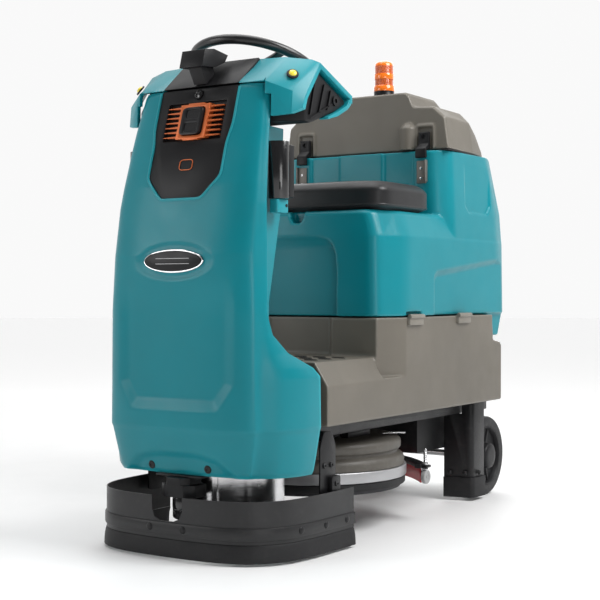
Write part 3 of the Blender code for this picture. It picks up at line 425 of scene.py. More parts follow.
def placed(part, name, look, *nodes, body="chassis", slot=None, sharp=40):
    """Names a finished piece, gives it its look and its body, and hides the CAD nodes that it stands for. The slot
    is worked out from the look's name, without the number Blender may have added, unless another is given, but
    nothing uses it."""
    slot = slot or look.name.split(".")[0]
    part.name = name
    part.data.name = name
    part.data.materials.clear()
    part.data.materials.append(look)
    part.data.shade_smooth()
    part.data.set_sharp_from_angle(angle=math.radians(sharp))
    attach(part, body)
    if nodes:
        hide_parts(*nodes)
    return part


def copy_of(node):
    """A copy of a CAD node's mesh, with its flat faces whole again."""
    bm = bmesh.new()
    bm.from_mesh(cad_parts[node].data)
    bmesh.ops.remove_doubles(bm, verts=bm.verts, dist=1e-6)
    bmesh.ops.dissolve_limit(bm, angle_limit=math.radians(0.6), verts=bm.verts, edges=bm.edges)
    return linked(bm)


def carried(node, name, look, *edges, **kept):
    """A CAD node's own shape with its edges rounded, by the width, segments and angle of bevelled."""
    placed(bevelled(copy_of(node), *edges), name, look, node, **kept)


def step(value, low, high):
    t = min(max((value - low) / (high - low), 0), 1)
    return t * t * (3 - 2 * t)


def slant(value, low, high):
    """0 to 1 on a straight slope with slightly eased ends."""
    t = min(max((value - low) / (high - low), 0), 1)
    return 0.75 * t + 0.25 * t * t * (3 - 2 * t)


def at(table, value):
    """The value read from a table of (position, value) pairs, straight between them."""
    for (low, first), (high, second) in zip(table, table[1:]):
        if value <= high:
            return first + (second - first) * max(value - low, 0) / (high - low)
    return table[-1][1]


def distance(x, z, outline):
    """Signed distance from a closed outline, negative inside."""
    here = Vector((x, z))
    best, inside = 1e9, False
    for a, b in zip(outline, outline[1:] + outline[:1]):
        first, last = Vector(a), Vector(b)
        along = last - first
        t = min(max((here - first).dot(along) / along.length_squared, 0), 1)
        best = min(best, (here - first - along * t).length)
        if (first.y > z) != (last.y > z) and x < (last.x - first.x) * (z - first.y) / (last.y - first.y) + first.x:
            inside = not inside
    return -best if inside else best


# Front cover


# Y of the cover's face at the middle, by height
COVER_FRONT = mm((196, -694), (310, -716), (740, -712), (910, -678), (1010, -648), (1160, -603))


def cover_outline(z):
    """Outer half outline of the front cover at a height: a U, open to the rear."""
    rear = mm((196, -640), (600, -648), (740, -640), (860, -634), (1000, -610), (1160, -573))
    width = mm((196, 212), (310, 236), (600, 232), (860, 222), (1060, 205), (1160, 190))
    flare = ((0.196, 0.86), (0.31, 1.0), (0.44, 1.0), (0.462, 0.86), (0.5, 0.38), (0.545, 0.1), (0.6, 0.0))
    y, w, f = at(COVER_FRONT, z), at(width, z), at(flare, z)
    deep = at(rear, z) - y
    bends = ((0, 0), (0.38, 0.03), (0.66, 0.12), (0.84, 0.27), (0.94, 0.47), (0.985, 0.72))
    half = [(w * across, y + deep * back) for across, back in bends]
    flank = [(0.002, 0.9, 0.55, 0.03), (0.003, 0.96, 0.92, 0.09), (0.004, 1.0, 1.0, 0.15)]
    for out, back, spread, reach in flank:
        half.append((w + out * (1 - f) + spread * f * (HALF_WIDTH - w), y + deep * back + reach * f))
    return half


WINDOW = mirrored(mm((121, 1170), (121, 1060), (112, 1012), (112, 930), (62, 878)))
BADGE_Z = 0.723


def cover_depth(x, z):
    """How far the cover's face is pressed in at a place."""
    lower = mm((-178, 900), (-178, 424), (-132, 360), (132, 360), (178, 424), (178, 900))
    arch = mm((-208, 150), (-164, 212), (-124, 246), (-60, 260), (60, 260), (124, 246), (164, 212),
        (208, 150))
    depth = 0.0095 * slant(-distance(x, z, lower), -0.002, 0.028) * step(z, 0.7, 0.58)
    depth += 0.0026 * slant(z, 0.314, 0.308)
    depth += 0.0095 * slant(-distance(x, z, arch), -0.002, 0.02)
    oval = math.hypot(x / 0.116, (z - BADGE_Z) / 0.046)
    return depth + 0.004 * slant(oval, 1.03, 0.88)


def cover_face(x, z):
    """Y of the cover's front face."""
    outline = smooth_points([(px, py, 0) for px, py in cover_outline(z)[:6]], 6)
    return at([(p.x, p.y) for p in outline], abs(x)) + cover_depth(x, z)


def front_shell():
    heights = [COVER_LOW.z + (COVER_HIGH.z - COVER_LOW.z) * k / 190 for k in range(191)]
    rings = []
    for z in heights:
        half = smooth_points([(x, y, 0) for x, y in cover_outline(z)], 8)
        line = [Vector((-p.x, p.y, 0)) for p in reversed(half[1:])] + half
        row = []
        for i, point in enumerate(line):
            before, after = line[max(i - 1, 0)], line[min(i + 1, len(line) - 1)]
            inward = Vector((before.y - after.y, after.x - before.x, 0)).normalized()
            edge = 0.004 * (1 - step(min(z - COVER_LOW.z, COVER_HIGH.z - z), -0.002, 0.01))
            row.append(Vector((point.x, point.y, z)) + inward * (cover_depth(point.x, z) + edge))
        rings.append(row)
    shell = thickened(loft(rings, caps=False, wrap=False), 0.0045, -1)
    shell = cut(shell, prism(rounded(WINDOW, 0.01), "Y", -0.8, -0.5))
    placed(shell, "front_shell", TEAL, "front_cover", sharp=55)


def window_bead():
    """Rounded rim round the sensor window."""
    half = WINDOW[:5]
    path = [(x + 0.0022, 0, z - (0.003 if z < 0.9 else 0)) for x, z in [(0.121, 1.153)] + half[1:]]
    path = path + [(-x, y, z) for x, y, z in reversed(path)]
    points = []
    flat = [(x, z) for x, _, z in path]
    for (x0, z0), (x1, z1) in zip(flat, flat[1:]):
        count = max(int(math.hypot(x1 - x0, z1 - z0) / 0.006), 1)
        points += [(x0 + (x1 - x0) * k / count, z0 + (z1 - z0) * k / count) for k in range(count)]
    points.append(flat[-1])
    for _ in range(4):
        points = points[:1] + [
            tuple((Vector(a) + Vector(b) * 2 + Vector(c)) / 4) for a, b,
                c in zip(points, points[1:], points[2:])
        ] + points[-1:]
    bead = tube([(x, cover_face(x, z) + 0.0004, z) for x, z in points], 0.0036, 10)
    placed(bead, "window_bead", TEAL)


def cover_bolts():
    bolts = []
    for s in (-1, 1):
        spot = (s * 0.087, cover_face(0.087, 0.218) + 0.001, 0.218)
        profile = mm((0, -2), (10.5, -2), (10.5, 1.4), (9, 3), (4.5, 3.2), (4, 1.8), (0, 1.8))
        bolts.append(lathe(profile, spot, (0, -1, -0.15), 24))
    placed(gathered(*bolts), "cover_bolts", BLACK, slot="black_steel")


def badge():
    """Plain oval plate: a bright rim round a black field, with no lettering."""
    def oval(scale_x, scale_z, lift):
        spots = [(scale_x * c, BADGE_Z + scale_z * s) for c, s in around(72)]
        return [(x, cover_face(x, z) - lift, z) for x, z in spots]

    levels = mm((92, 29, 0), (92, 29, 3.4), (90.5, 27.5, 4.8), (88.8, 25.8, 4.6), (88, 25, 3))
    rim = loft([oval(*level) for level in levels])
    placed(rim, "badge_rim", CHROME, "badge_plate")
    field = loft([oval(a, b, c) for a, b, c in mm((88, 25, 2), (87.6, 24.6, 4.2), (84, 21.5, 5))])
    placed(field, "badge_field", BLACK)
    bars = []
    half = 0.052
    for z in (BADGE_Z + 0.0065, BADGE_Z - 0.0065):
        bars.append(tube([(x * half / 8, cover_face(x * half / 8, z) - 0.0048, z) for x in range(-8, 9)],
            0.0011, 8))
    placed(gathered(*bars), "badge_lines", CHROME)


# Sensor panel, heat sink and cameras

PANEL_SLOPE, POCKET_Z = 0.3, 1.0725


def leaned(part):
    shear = Matrix.Identity(4)
    shear[1][2] = PANEL_SLOPE
    shear[1][3] = -PANEL_SLOPE * POCKET_Z
    part.data.transform(shear)
    return part


def panel():
    half = mm((120, 1159), (120, 1060), (111, 1012), (111, 930), (61.2, 879))
    outline = rounded(mirrored(half), 0.008, 3)

    rings = [[(x, at(COVER_FRONT, z) + back, z) for x, z in outline] for back in (0.004, 0.026)]
    body = loft(rings)
    pocket = leaned(box((-0.09, -0.69, 1.024), (0.09, -0.6115, 1.122)))
    seam = leaned(box((-0.12, -0.69, 1.0085), (0.12, -0.6445, 1.011)))
    port = cylinder(0.0125, -0.02, 0.01, (0, at(COVER_FRONT, 1.142) + 0.004, 1.142), (0, -1, 0.3), 32)
    body = bevelled(cut(body, pocket, seam, port), 0.0016, 2, 35)
    placed(body, "sensor_face", CHARCOAL, "sensor_panel", sharp=35)
    profile = mm((0, 0), (12, 0), (12, 6.5), (10, 7.5), (8.5, 4.5), (4, 6), (0, 6.4))
    lens = lathe(profile, (0, at(COVER_FRONT, 1.142) + 0.0075, 1.142), (0, -1, 0.3), 40)
    placed(lens, "upward_lens", GLOSS_BLACK, slot="black_plastic")
    ring_points = []
    for c, s in around(48):
        x, z = 0.02 * math.copysign(abs(c) ** 0.5, c), 0.962 + 0.013 * math.copysign(abs(s) ** 0.5, s)
        ring_points.append((x, at(COVER_FRONT, z) + 0.0036, z))
    placed(tube(ring_points, 0.001, 8, closed=True), "panel_mark", ORANGE)


def heat_sink():
    y0, y1 = -0.632, -0.6122
    body = box((-0.045, y0, 1.028), (0.045, y1, 1.117))
    for z_low, z_high in ((1.025, 1.033), (1.112, 1.12)):
        body = join(body, box((-0.024, y0 + 0.002, z_low), (0.024, y1, z_high)))
    for k in range(7):
        z = 1.0345 + k * 0.0125
        for s in (-1, 1):
            fin = [(s * 0.087, z - 0.0008), (s * 0.044, z - 0.0026), (s * 0.044, z + 0.0026),
                (s * 0.087, z + 0.0008)]
            body = join(body, prism(fin, "Y", y0 + 0.003, y1 - 0.001))
    body = cut(body, prism(rounded_box(-0.034, 1.036, 0.034, 1.11, 0.012),
                           "Y", -0.66, -0.618))
    body = leaned(bevelled(body, 0.0008, 2, 40))
    placed(body, "finned_frame", ORANGE, "heat_sink", sharp=35)


def camera_block():
    block = prism(rounded_box(-0.0318, 1.0382, 0.0318, 1.108, 0.012, 5),
                  "Y", -0.64, -0.6186)
    for z in (1.056, 1.0905):
        window = rounded_box(-0.018, z - 0.012, 0.022, z + 0.012, 0.005, 3)
        block = cut(block, prism(window, "Y", -0.65, -0.6365))
    placed(leaned(bevelled(block, 0.0012, 2, 40)), "camera_body", BLACK, "stereo_camera")
    panes = []
    for z in (1.056, 1.0905):
        pane = rounded_box(-0.0172, z - 0.0112, 0.0212, z + 0.0112, 0.0045, 3)
        panes.append(prism(pane, "Y", -0.6377, -0.6362))
    placed(leaned(gathered(*panes)), "camera_windows", GLOSS_BLACK, slot="black_plastic")


# Console

CONSOLE_TILT = math.radians(22.2)
CONSOLE_NORMAL = Vector((0, math.sin(CONSOLE_TILT), math.cos(CONSOLE_TILT)))


def console_point(x, y, height=0.0):
    surface_z = 1.158 + (-0.318 - y) * math.tan(CONSOLE_TILT)
    return Vector((x, y, surface_z)) + CONSOLE_NORMAL * height


def console():
    carried("console_cover", "console_shell", TEAL, 0.0045, 3, 24, sharp=50)
    carried("console_strip", "console_middle", CHARCOAL, 0.002, 2)
    carried("console_housing", "console_body", CHARCOAL, 0.004, 3, 20)
    carried("sensor_hood", "hood_shell", CHARCOAL, 0.0022, 2, 20)
    for side, s in SIDES:
        ribs = []
        for low_y, low_z, high_y, high_z in ((-0.505, 1.084, -0.478, 1.18), (-0.465, 1.092, -0.438, 1.167),
                                             (-0.425, 1.104, -0.408, 1.155), (-0.503, 1.076, -0.404, 1.122)):
            rib = [(low_y - 0.002, low_z), (low_y + 0.003, low_z), (high_y + 0.003, high_z),
                (high_y - 0.002, high_z)]
            ribs.append(prism(rib, "X", s * 0.256, s * 0.2675))
        ribs.append(lathe(mm((6, 0), (12.5, 0), (12.5, 6), (6, 6)),
                          (s * 0.2605, -0.384, 1.132), (s, 0, 0), 28))
        placed(gathered(*ribs), f"console_ribs_{side}", BLACK, slot="charcoal_plastic")
        lip = mm((-315, 1144), (-315, 1133), (-334, 1116), (-380, 1094), (-430, 1080), (-431, 1086),
            (-382, 1105), (-337, 1127), (-328, 1144))
        placed(bevelled(prism(rounded(lip, 0.006, 3), "X", s * 0.245, s * 0.2725), 0.002, 2, 50),
            f"console_lip_{side}", TEAL)


def marker_lights():
    for side, s in SIDES:
        centre = Vector((s * 0.2375, -0.5406, 1.176))
        outward = Vector((s * 0.53, -0.58, 0.62)).normalized()
        base = centre + outward * 0.0055
        bezel = lathe(mm((10, 0), (15, 0), (15, 3.5), (13.8, 5), (10.5, 5)), base, outward,
                      40)
        placed(bezel, f"marker_bezel_{side}", BLACK)
        dome = mm((0, 0.5), (10.3, 0.5), (10.3, 4), (9, 7.5), (6, 9.6), (2.5, 10.6), (0, 10.8))
        placed(lathe(dome, base, outward, 40), f"marker_lens_{side}", YELLOW, f"marker_light_{side}")


def controls():
    stop = mm((0, 6.2), (10.5, 6.2), (10.5, 20.5), (16.5, 22.5), (17, 26.2), (16, 31.2), (12, 34.8),
        (6, 36), (0, 36.2))
    placed(lathe(stop, console_point(-0.222, -0.44), CONSOLE_NORMAL, 48), "stop_head", RED,
        "emergency_stop", body="stop_button")
    start = mm((0, 6.2), (6.8, 6.2), (6.8, 10.2), (10.8, 11), (10.5, 14.8), (8, 16), (0, 16.3))
    placed(lathe(start, console_point(0.11, -0.455), CONSOLE_NORMAL, 40), "start_head", GREEN,
        "start_button", body="start")
    swells = [1 + 0.035 * math.cos(18 * (2 * math.pi * k / 72)) for k in range(72)]
    rings = []
    turn = turned(CONSOLE_NORMAL)
    for radius, height in mm((13.8, 2), (13.4, 15), (11.8, 17.6), (9, 18.2)):
        rings.append([
            console_point(-0.13, -0.47) + turn @ Vector((radius * swell * c, radius * swell * s, height))
            for swell, (c, s) in zip(swells, around(72))
        ])
    placed(loft(rings), "dial_knob", GREY, "speed_dial", body="dial")
    carried("ignition_key", "key_blade", STEEL, 0.0004, 2, 40, body="key", slot="key_steel")
    carried("display_screen", "display_pane", SCREEN, 0.0015, 2)
    collars = []
    for x, y, inner, outer in ((-0.222, -0.44, 0.012, 0.0205), (0.11, -0.455, 0.0085, 0.0135)):
        collars.append(lathe([(inner, 0.0004), (outer, 0.0004), (outer - 0.001, 0.0022), (inner, 0.0022)],
                             console_point(x, y), CONSOLE_NORMAL, 40))
    placed(gathered(*collars), "button_collars", BLACK)


def steering():
    centre = Vector((0, -0.36, 1.237))
    tilt = math.radians(20)
    axis = Vector((0, math.sin(tilt), math.cos(tilt)))
    turn = turned(axis)
    radius, grip = 0.18, 0.013
    reach = radius - grip
    rim = tube([centre + turn @ Vector((reach * c, reach * s, 0)) for c, s in around(96)], grip - 0.0002,
        16, closed=True)
    placed(rim, "wheel_rim", GRIP, "steering_wheel", body="steering")
    parts = []
    for degrees in (90, 210, 330):
        a = math.radians(degrees)
        direction = Vector((math.cos(a), math.sin(a), 0))
        across = Vector((-direction.y, direction.x, 0))
        rings = []
        for k in range(9):
            t = k / 8
            reach = 0.03 + 0.132 * t
            half = 0.017 - 0.007 * step(t, 0, 0.7) + 0.004 * step(t, 0.8, 1)
            low, high = -0.01 + 0.005 * t, 0.003 + 0.002 * math.sin(math.pi * t)
            corners = rounded([(-half, low), (half, low), (half, high), (-half, high)], 0.004, 3)
            rings.append([centre + turn @ (direction * reach + across * u + Vector((0, 0, v))) for u,
                v in corners])
        parts.append(loft(rings))
    hub = mm((0, -51), (20, -51), (20, -30), (33, -30), (40, -12), (42, 0), (39, 8), (33, 12), (18, 14.5),
        (0, 15.5))
    parts.append(lathe(hub, centre, axis, 48))
    placed(gathered(*parts), "wheel_spokes", BLACK, body="steering", slot="wheel_grip")


# Tower


def tower():
    carried("tower_rear_cover", "tower_back", TEAL, 0.004, 3, 14, sharp=50)
    carried("tower_frame", "tower_bars", STEEL_BLACK, 0.0015, 2, slot="black_steel")
    for side, s in SIDES:
        count = 32
        arc = [math.radians(-90 + 180 * k / count) for k in range(count + 1)]
        outline = [(s * (0.2085 + 0.0375 * math.cos(a)), -0.574 + 0.028 * math.sin(a)) for a in arc]
        body = bevelled(prism(outline, "Z", 0.874, 1.014), 0.0018, 2, 50)
        placed(body, f"side_sensor_shell_{side}", GLOSS_BLACK, f"side_sensor_{side}",
            slot="charcoal_plastic", sharp=35)
        flange = prism(rounded([(s * 0.2085, -0.55), (s * 0.23, -0.55), (s * 0.233, -0.546),
                                (s * 0.233, -0.524), (s * 0.2085, -0.524)], 0.003, 3), "Z", 0.88, 1.008)
        placed(bevelled(flange, 0.0014, 2, 50), f"side_sensor_flange_{side}", BLACK, slot="charcoal_plastic")
        slits = []
        for angle in (-42, 30):
            a = math.radians(angle)
            spot = Vector((s * (0.2085 + 0.0377 * math.cos(a)), -0.574 + 0.0282 * math.sin(a), 0.905))
            slits.append(box((spot.x - 0.0012, spot.y - 0.0012, 0.896),
                (spot.x + 0.0012, spot.y + 0.0012, 0.914)))
        placed(gathered(*slits), f"side_sensor_slits_{side}", CHARCOAL)
        plate = prism(rounded([(s * 0.2085, -0.6), (s * 0.233, -0.598), (s * 0.235, -0.552),
            (s * 0.2085, -0.548)],
                              0.006, 3), "Z", 0.84, 0.8725)
        placed(bevelled(plate, 0.002, 2), f"side_sensor_bracket_{side}", TEAL)
        placed(cylinder(0.0042, -0.001, 0.0012, (s * 0.2345, -0.562, 0.858), (s, 0, 0), 20),
            f"side_sensor_screw_{side}", BLACK)


# Base, tank, lid and seat


def base_shell():
    side = [
        (-0.46, BASE_LOW.z), (-0.46, STEP_Z), (RISER_Y, STEP_Z), (RISER_Y, 0.578),
        (0.498, 0.578), (0.505, 0.5), (0.556, 0.492), (0.566, 0.48), (0.563, BASE_LOW.z),
    ]
    body = prism(side, "X", -HALF_WIDTH, HALF_WIDTH)
    body = join(body, box((-0.212, -0.594, STEP_Z - 0.03), (0.212, -0.45, STEP_Z)))
    calf = [(-0.124, RISER_Y - 0.01), (0.124, RISER_Y - 0.01), (0.1, RISER_Y + 0.021),
        (-0.1, RISER_Y + 0.021)]
    for s in (-1, 1):
        chamfer = [(s * 0.25, STEP_Z + 0.0005), (s * 0.291, 0.411), (s * 0.32, 0.411), (s * 0.32, 0.5)]
        corner = [(s * 0.2575, RISER_Y - 0.01), (s * 0.33, RISER_Y - 0.01), (s * 0.2905, -0.055)]
        body = cut(body, prism(chamfer, "Y", -0.48, RISER_Y - 0.002), prism(corner, "Z", 0.418, 0.6))
    body = cut(body, prism(calf, "Z", STEP_Z + 0.001, 0.6),
               box((-0.236, -0.43, BASE_LOW.z - 0.01), (0.236, -0.012, 0.456)),
               box((-0.262, 0.006, 0.334), (0.262, 0.474, 0.6)),
               box((-0.075, -0.48, BASE_LOW.z - 0.01), (0.075, -0.42, 0.4)))
    body = moulded(body, 0.0038, 3, 0.3)
    for low in (-0.05, 0.25):
        leaf = bevelled(box((0.272, low, 0.556), (0.299, low + 0.08, 0.5783)), 0.003, 3)
        barrel = bevelled(cylinder(0.0068, low, low + 0.08, (0.297, 0, 0.58), (0, 1, 0), 24), 0.001, 2, 60)
        placed(gathered(leaf, barrel), f"hinge_{'front' if low < 0 else 'rear'}", TAUPE)
    placed(body, "base_shell", TAUPE, "base_body", sharp=80)
    treads = []
    for row in range(7):
        y = -0.42 + 0.034 * row
        for k in range(7):
            x = -0.18 + 0.06 * k + (0.012 if row % 2 else -0.012)
            outline = rounded_box(x - 0.019, y - 0.005, x + 0.019, y + 0.005, 0.004, 3)
            treads.append(prism(outline, "Z", STEP_Z - 0.0005, STEP_Z + 0.0012))
    placed(gathered(*treads), "step_treads", RUBBER)


def tank_ring(z, front, side, rear, chamfer_x, chamfer_y, rear_half, radius):
    half = [(chamfer_x, front), (side, front + chamfer_y), (side, rear - 0.1),
        (rear_half + 0.008, rear - 0.02),
            (rear_half - 0.02, rear)]
    return [(x, y, z) for x, y in rounded(mirrored(half), radius, 5)]


def tank_shell():
    w, low = HALF_WIDTH, SPLIT_Z
    front, rear = RISER_Y, 0.64
    lower = loft([
        tank_ring(low, front, w, rear, 0.257, 0.106, 0.262, 0.03),
        tank_ring(0.8, front + 0.001, w, rear - 0.006, 0.252, 0.112, 0.262, 0.03),
        tank_ring(LEDGE_Z - 0.01, front + 0.004, 0.266, rear - 0.012, 0.236, 0.118, 0.258, 0.03),
        tank_ring(LEDGE_Z, front + 0.012, 0.258, rear - 0.014, 0.23, 0.118, 0.25, 0.03),
    ])
    upper = loft([
        tank_ring(0.792, 0.192, w - 0.002, rear - 0.006, 0.245, 0.04, 0.262, 0.024),
        tank_ring(LEDGE_Z + 0.02, 0.19, w - 0.004, rear - 0.014, 0.245, 0.04, 0.258, 0.024),
        tank_ring(TANK_TOP_Z, 0.19, w - 0.012, 0.582, 0.238, 0.04, 0.24, 0.024),
    ])
    tail = prism(mm((516, 590), (516, 512), (600, 512), (632, 590)), "X", -0.262, 0.262)
    collar = lathe(mm((30, 600), (40, 600), (40, 648), (30, 648)), (-0.16, 0, 0.66), (0, 1, 0), 40)
    body = join(lower, upper, tail)
    arch = mm((128, 540), (126, 700), (120, 760), (104, 790), (70, 800))
    calf_rows = []
    for out, y in mm((20, -20), (4, 0), (-10, 12), (-26, 22)):
        calf_rows.append([(x + math.copysign(out, x), front + y, z + (out if z > 0.6 else 0))
                          for x, z in rounded(mirrored(arch), 0.02, 3)])
    body = cut(body, loft(calf_rows))
    body = cut(body, box((-0.21, 0.232, 0.73), (0.21, 0.535, 1.08)))
    notch = mirrored([(-0.024, LEDGE_Z + 0.02), (-0.022, LEDGE_Z - 0.02), (-0.012, LEDGE_Z - 0.033)])
    body = cut(body, prism(notch, "Y", front - 0.02, front + 0.03))
    body = cut(body, box((0.075, 0.17, 0.93), (0.182, 0.196, 1.08)),
        box((-0.182, 0.17, 0.93), (-0.075, 0.196, 1.08)))
    for s in (-1, 1):
        inner, outer = 0.2765, 0.33
        recess = mm((130, 560), (130, 680), (150, 692), (540, 735), (600, 735), (600, 560))
        wide = [(y - (0.022 if y < 0.2 else 0), z + (0.02 if z > 0.6 else 0)) for y, z in recess]
        rows = [[(s * inner, y, z) for y, z in recess], [(s * (HALF_WIDTH + 0.002), y, z) for y, z in wide],
                [(s * outer, y, z) for y, z in wide]]
        body = cut(body, loft(rows))
        decal = mm((320, 905), (345, 885), (470, 885), (495, 910), (495, 1030), (320, 1030))
        body = cut(body, prism(decal, "X", min(s * 0.279, s * 0.33), max(s * 0.279, s * 0.33)))
    notches = [box((0.276, y - 0.004, 0.54), (0.33, y + 0.084, 0.593)) for y in (-0.05, 0.25)]
    body = cut(body, *notches)
    body = moulded(join(body, collar), 0.0036, 3, 0.28)
    placed(body, "tank_shell", TEAL, "tank", body="tank_unit", sharp=80)


def lid_section(y, top, shoulder, half_bottom, scale, low):
    half = [
        (0, top), (0.14 * scale, top), (0.15 * scale, top - 0.01), (0.164 * scale, shoulder + 0.004),
        (0.172 * scale, shoulder), (0.232 * scale, shoulder - 0.003), (half_bottom - 0.014, shoulder - 0.036),
        (half_bottom - 0.004, low + 0.02), (half_bottom, low),
    ]
    return [(x, y, z) for x, z in both_sides(half)]


def lid_shell():
    low, top = LID_LOW.z, LID_HIGH.z
    sections = []
    for y, drop, bottom, scale in ((0.211, 0.005, 0.283, 1.0), (0.217, 0.0, 0.285, 1.0),
        (0.4, 0.0, 0.272, 0.97),
                                   (0.48, 0.028, 0.254, 0.93), (0.535, 0.085, 0.238, 0.88),
                                   (0.549, 0.098, 0.226, 0.84)):
        shoulder = max(top - drop - 0.045, low + 0.066)
        sections.append(lid_section(y, top - drop, shoulder, bottom, scale, low))
    body = loft(sections)
    body = join(body, cylinder(0.026, low + 0.0005, 1.134, (0.15, 0.213, 0), segments=40),
                lathe(mm((0, 1120), (24, 1120), (21.5, 1140), (12, 1147.5), (0, 1149)), (0.15, 0.214, 0),
                      segments=40))
    for s in (-1, 1):
        x = s * LATCH_X
        body = join(body, prism(rounded_box(x - 0.031, low, x + 0.031, 1.142, 0.01, 3), "Y", 0.206, 0.23))
        body = cut(body, centred(x, 0.0245, (0.19, low - 0.01), (0.215, 1.1335)))
    body = cut(body, box((-0.2, 0.236, 1.05), (0.2, 0.47, 1.136)))
    body = moulded(body, 0.0033, 2, 0.32)
    placed(body, "lid_shell", TAUPE, "lid", body="lid_unit", sharp=80)
    path = mm((281.5, 211.8), (284, 217), (270.8, 400), (252.8, 480), (236.8, 535), (225, 548))
    outer = mirrored(path)
    inner = [(x * 0.955, 0.38 + (y - 0.38) * 0.94) for x, y in outer]
    bm = bmesh.new()
    rows = []
    for outline, z in ((outer, 1.0626), (outer, 1.0666), (inner, 1.0666), (inner, 1.0626)):
        rows.append([bm.verts.new((x, y, z)) for x, y in outline])
    for first, second in zip(rows, rows[1:] + rows[:1]):
        for i in range(len(outer)):
            j = (i + 1) % len(outer)
            bm.faces.new((first[i], first[j], second[j], second[i]))
    placed(linked(bm), "lid_gasket", RUBBER, body="lid_unit")


def latches():
    for side, s in SIDES:
        x = s * LATCH_X
        strap = rounded(mm((177.5, 1040), (187.5, 1040), (188, 1064), (209, 1070), (209.5, 1118),
            (198.5, 1118), (198.5, 1083), (178, 1068)), 0.004, 3)
        body = prism(strap, "X", x - 0.017, x + 0.017)
        hole = cylinder(0.0062, 0.19, 0.2045, (x, 0, 1.103), (0, 1, 0), 28)
        body = bevelled(cut(body, hole), 0.0014, 2, 40)
        placed(body, f"latch_strap_{side}", CHARCOAL, f"latch_{side}", body=f"strap_{side}",
            slot="black_rubber", sharp=35)
        keeper = centred(x, 0.015, (0.184, 0.966), (0.1895, 1.032))
        flange = centred(x + s * 0.0165, 0.0015, (0.176, 0.97), (0.1895, 1.034))
        screws = [lathe(mm((0, -1), (4.6, -1), (4, 1.8), (1.8, 2.2), (1.5, 1), (0, 1)), (x, 0.184, z),
            (0, -1, 0), 24) for z in (0.981, 1.01)]
        placed(gathered(bevelled(keeper, 0.0012, 2), bevelled(flange, 0.0006, 2)), f"latch_keeper_{side}",
            ZINC, body="tank_unit", slot="taupe_plastic")
        placed(gathered(*screws), f"keeper_screws_{side}", STEEL, body="tank_unit", slot="black_steel")


def beacon():
    low = LID_HIGH.z + 0.0006
    base = mm((0, 0), (32.5, 0), (33, 2), (32.5, 14), (31.5, 16), (31.5, 27), (0, 27))
    placed(lathe([(r, low + h) for r, h in base], (0, BEACON_Y, 0)), "beacon_base", BLACK, body="lid_unit")

    def ribbed(name, profile, look, nodes=()):
        part = lathe([(r, low + h) for r, h in profile], (0, BEACON_Y, 0), segments=72)
        placed(part, name, look, *nodes, body="lid_unit", slot="amber_lens")

    ribbed("beacon_collar", mm((0, 27.2), (31.8, 27.2), (32.2, 29), (31.8, 42), (29.6, 45), (0, 45)), AMBER,
        ("beacon",))

    def stack(low_h, high_h, radius, count):
        found = [(0, low_h)]
        for k in range(count):
            a = low_h + (high_h - low_h) * k / count
            b = low_h + (high_h - low_h) * (k + 1) / count
            found += [(radius - 0.0008, a), (radius, a + (b - a) * 0.3), (radius, a + (b - a) * 0.7),
                      (radius - 0.0008, b)]
        return found + [(0, high_h)]

    ribbed("beacon_lens_low", stack(0.0452, 0.064, 0.0285, 5), AMBER_DARK)
    ribbed("beacon_ring", mm((0, 64.2), (29, 64.2), (29.7, 66), (29.7, 79), (29, 81), (0, 81)), AMBER)
    ribbed("beacon_lens_high", stack(0.0812, 0.106, 0.0283, 6), AMBER_DARK)
    ribbed("beacon_top", mm((0, 106.2), (28, 106.2), (27.2, 112.5), (24, 117), (17, 120), (8, 121.5),
        (0, 121.9)), AMBER)


def seat():
    """Moulded cushion: a crowned top, rounded sides and a piped seam at its foot."""
    centre = (SEAT_LOW + SEAT_HIGH) / 2
    half = (SEAT_HIGH - SEAT_LOW) / 2
    low, high = SEAT_LOW.z, SEAT_HIGH.z
    count, levels = 96, 22

    def outline(inset, bulge, z):
        found = []
        for k in range(count):
            a = 2 * math.pi * k / count
            c, s = math.cos(a), math.sin(a)
            power = 0.24
            x = (half.x - inset) * math.copysign(abs(c) ** power, c)
            y = (half.y - inset) * math.copysign(abs(s) ** power, s)
            pull = 1 - bulge * abs(math.sin(2 * a)) * 0.012
            found.append((centre.x + x * pull, centre.y + y * pull, z))
        return found

    rings = []
    for k in range(levels + 1):
        t = k / levels
        if t < 0.16:
            inset, z = 0.02 * (1 - step(t, 0, 0.16)), low + 0.012 * t / 0.16
        elif t < 0.55:
            inset, z = 0.0, low + 0.012 + 0.04 * (t - 0.16) / 0.39
        else:
            u = (t - 0.55) / 0.45
            inset = 0.036 * (1 - math.cos(u * math.pi / 2)) ** 0.8
            z = low + 0.052 + (high - 0.01 - low - 0.052) * math.sin(u * math.pi / 2)
        rings.append(outline(inset, 1.0, z))
    for k in range(1, 9):
        shrink = 1 - k / 8.6
        z = high - 0.01 + 0.01 * (1 - shrink**2)
        rings.append([(centre.x + (x - centre.x) * shrink, centre.y + (y - centre.y) * shrink, z)
                      for x, y, _ in rings[levels]])
    cushion = loft(rings)
    cushion = placed(cushion, "seat_pad", VINYL, "seat_cushion", body="tank_unit", sharp=70)
    piping = tube([Vector(p) for p in outline(0.001, 1.0, low + 0.0135)], 0.0024, 8, closed=True)
    placed(piping, "seat_piping", VINYL, body="tank_unit")


# Skirt, scanner and drive unit

SKIRT_HALF = mm((0, -734), (80, -732), (150, -724), (200, -708), (238, -682), (268, -642), (286, -590),
    (296, -500), (300, -352))


def skirt_path(out=0.0):
    points = smooth_points([(x, y, 0) for x, y in both_sides(SKIRT_HALF)], 8)
    return offset([(p.x, p.y) for p in points], -out)


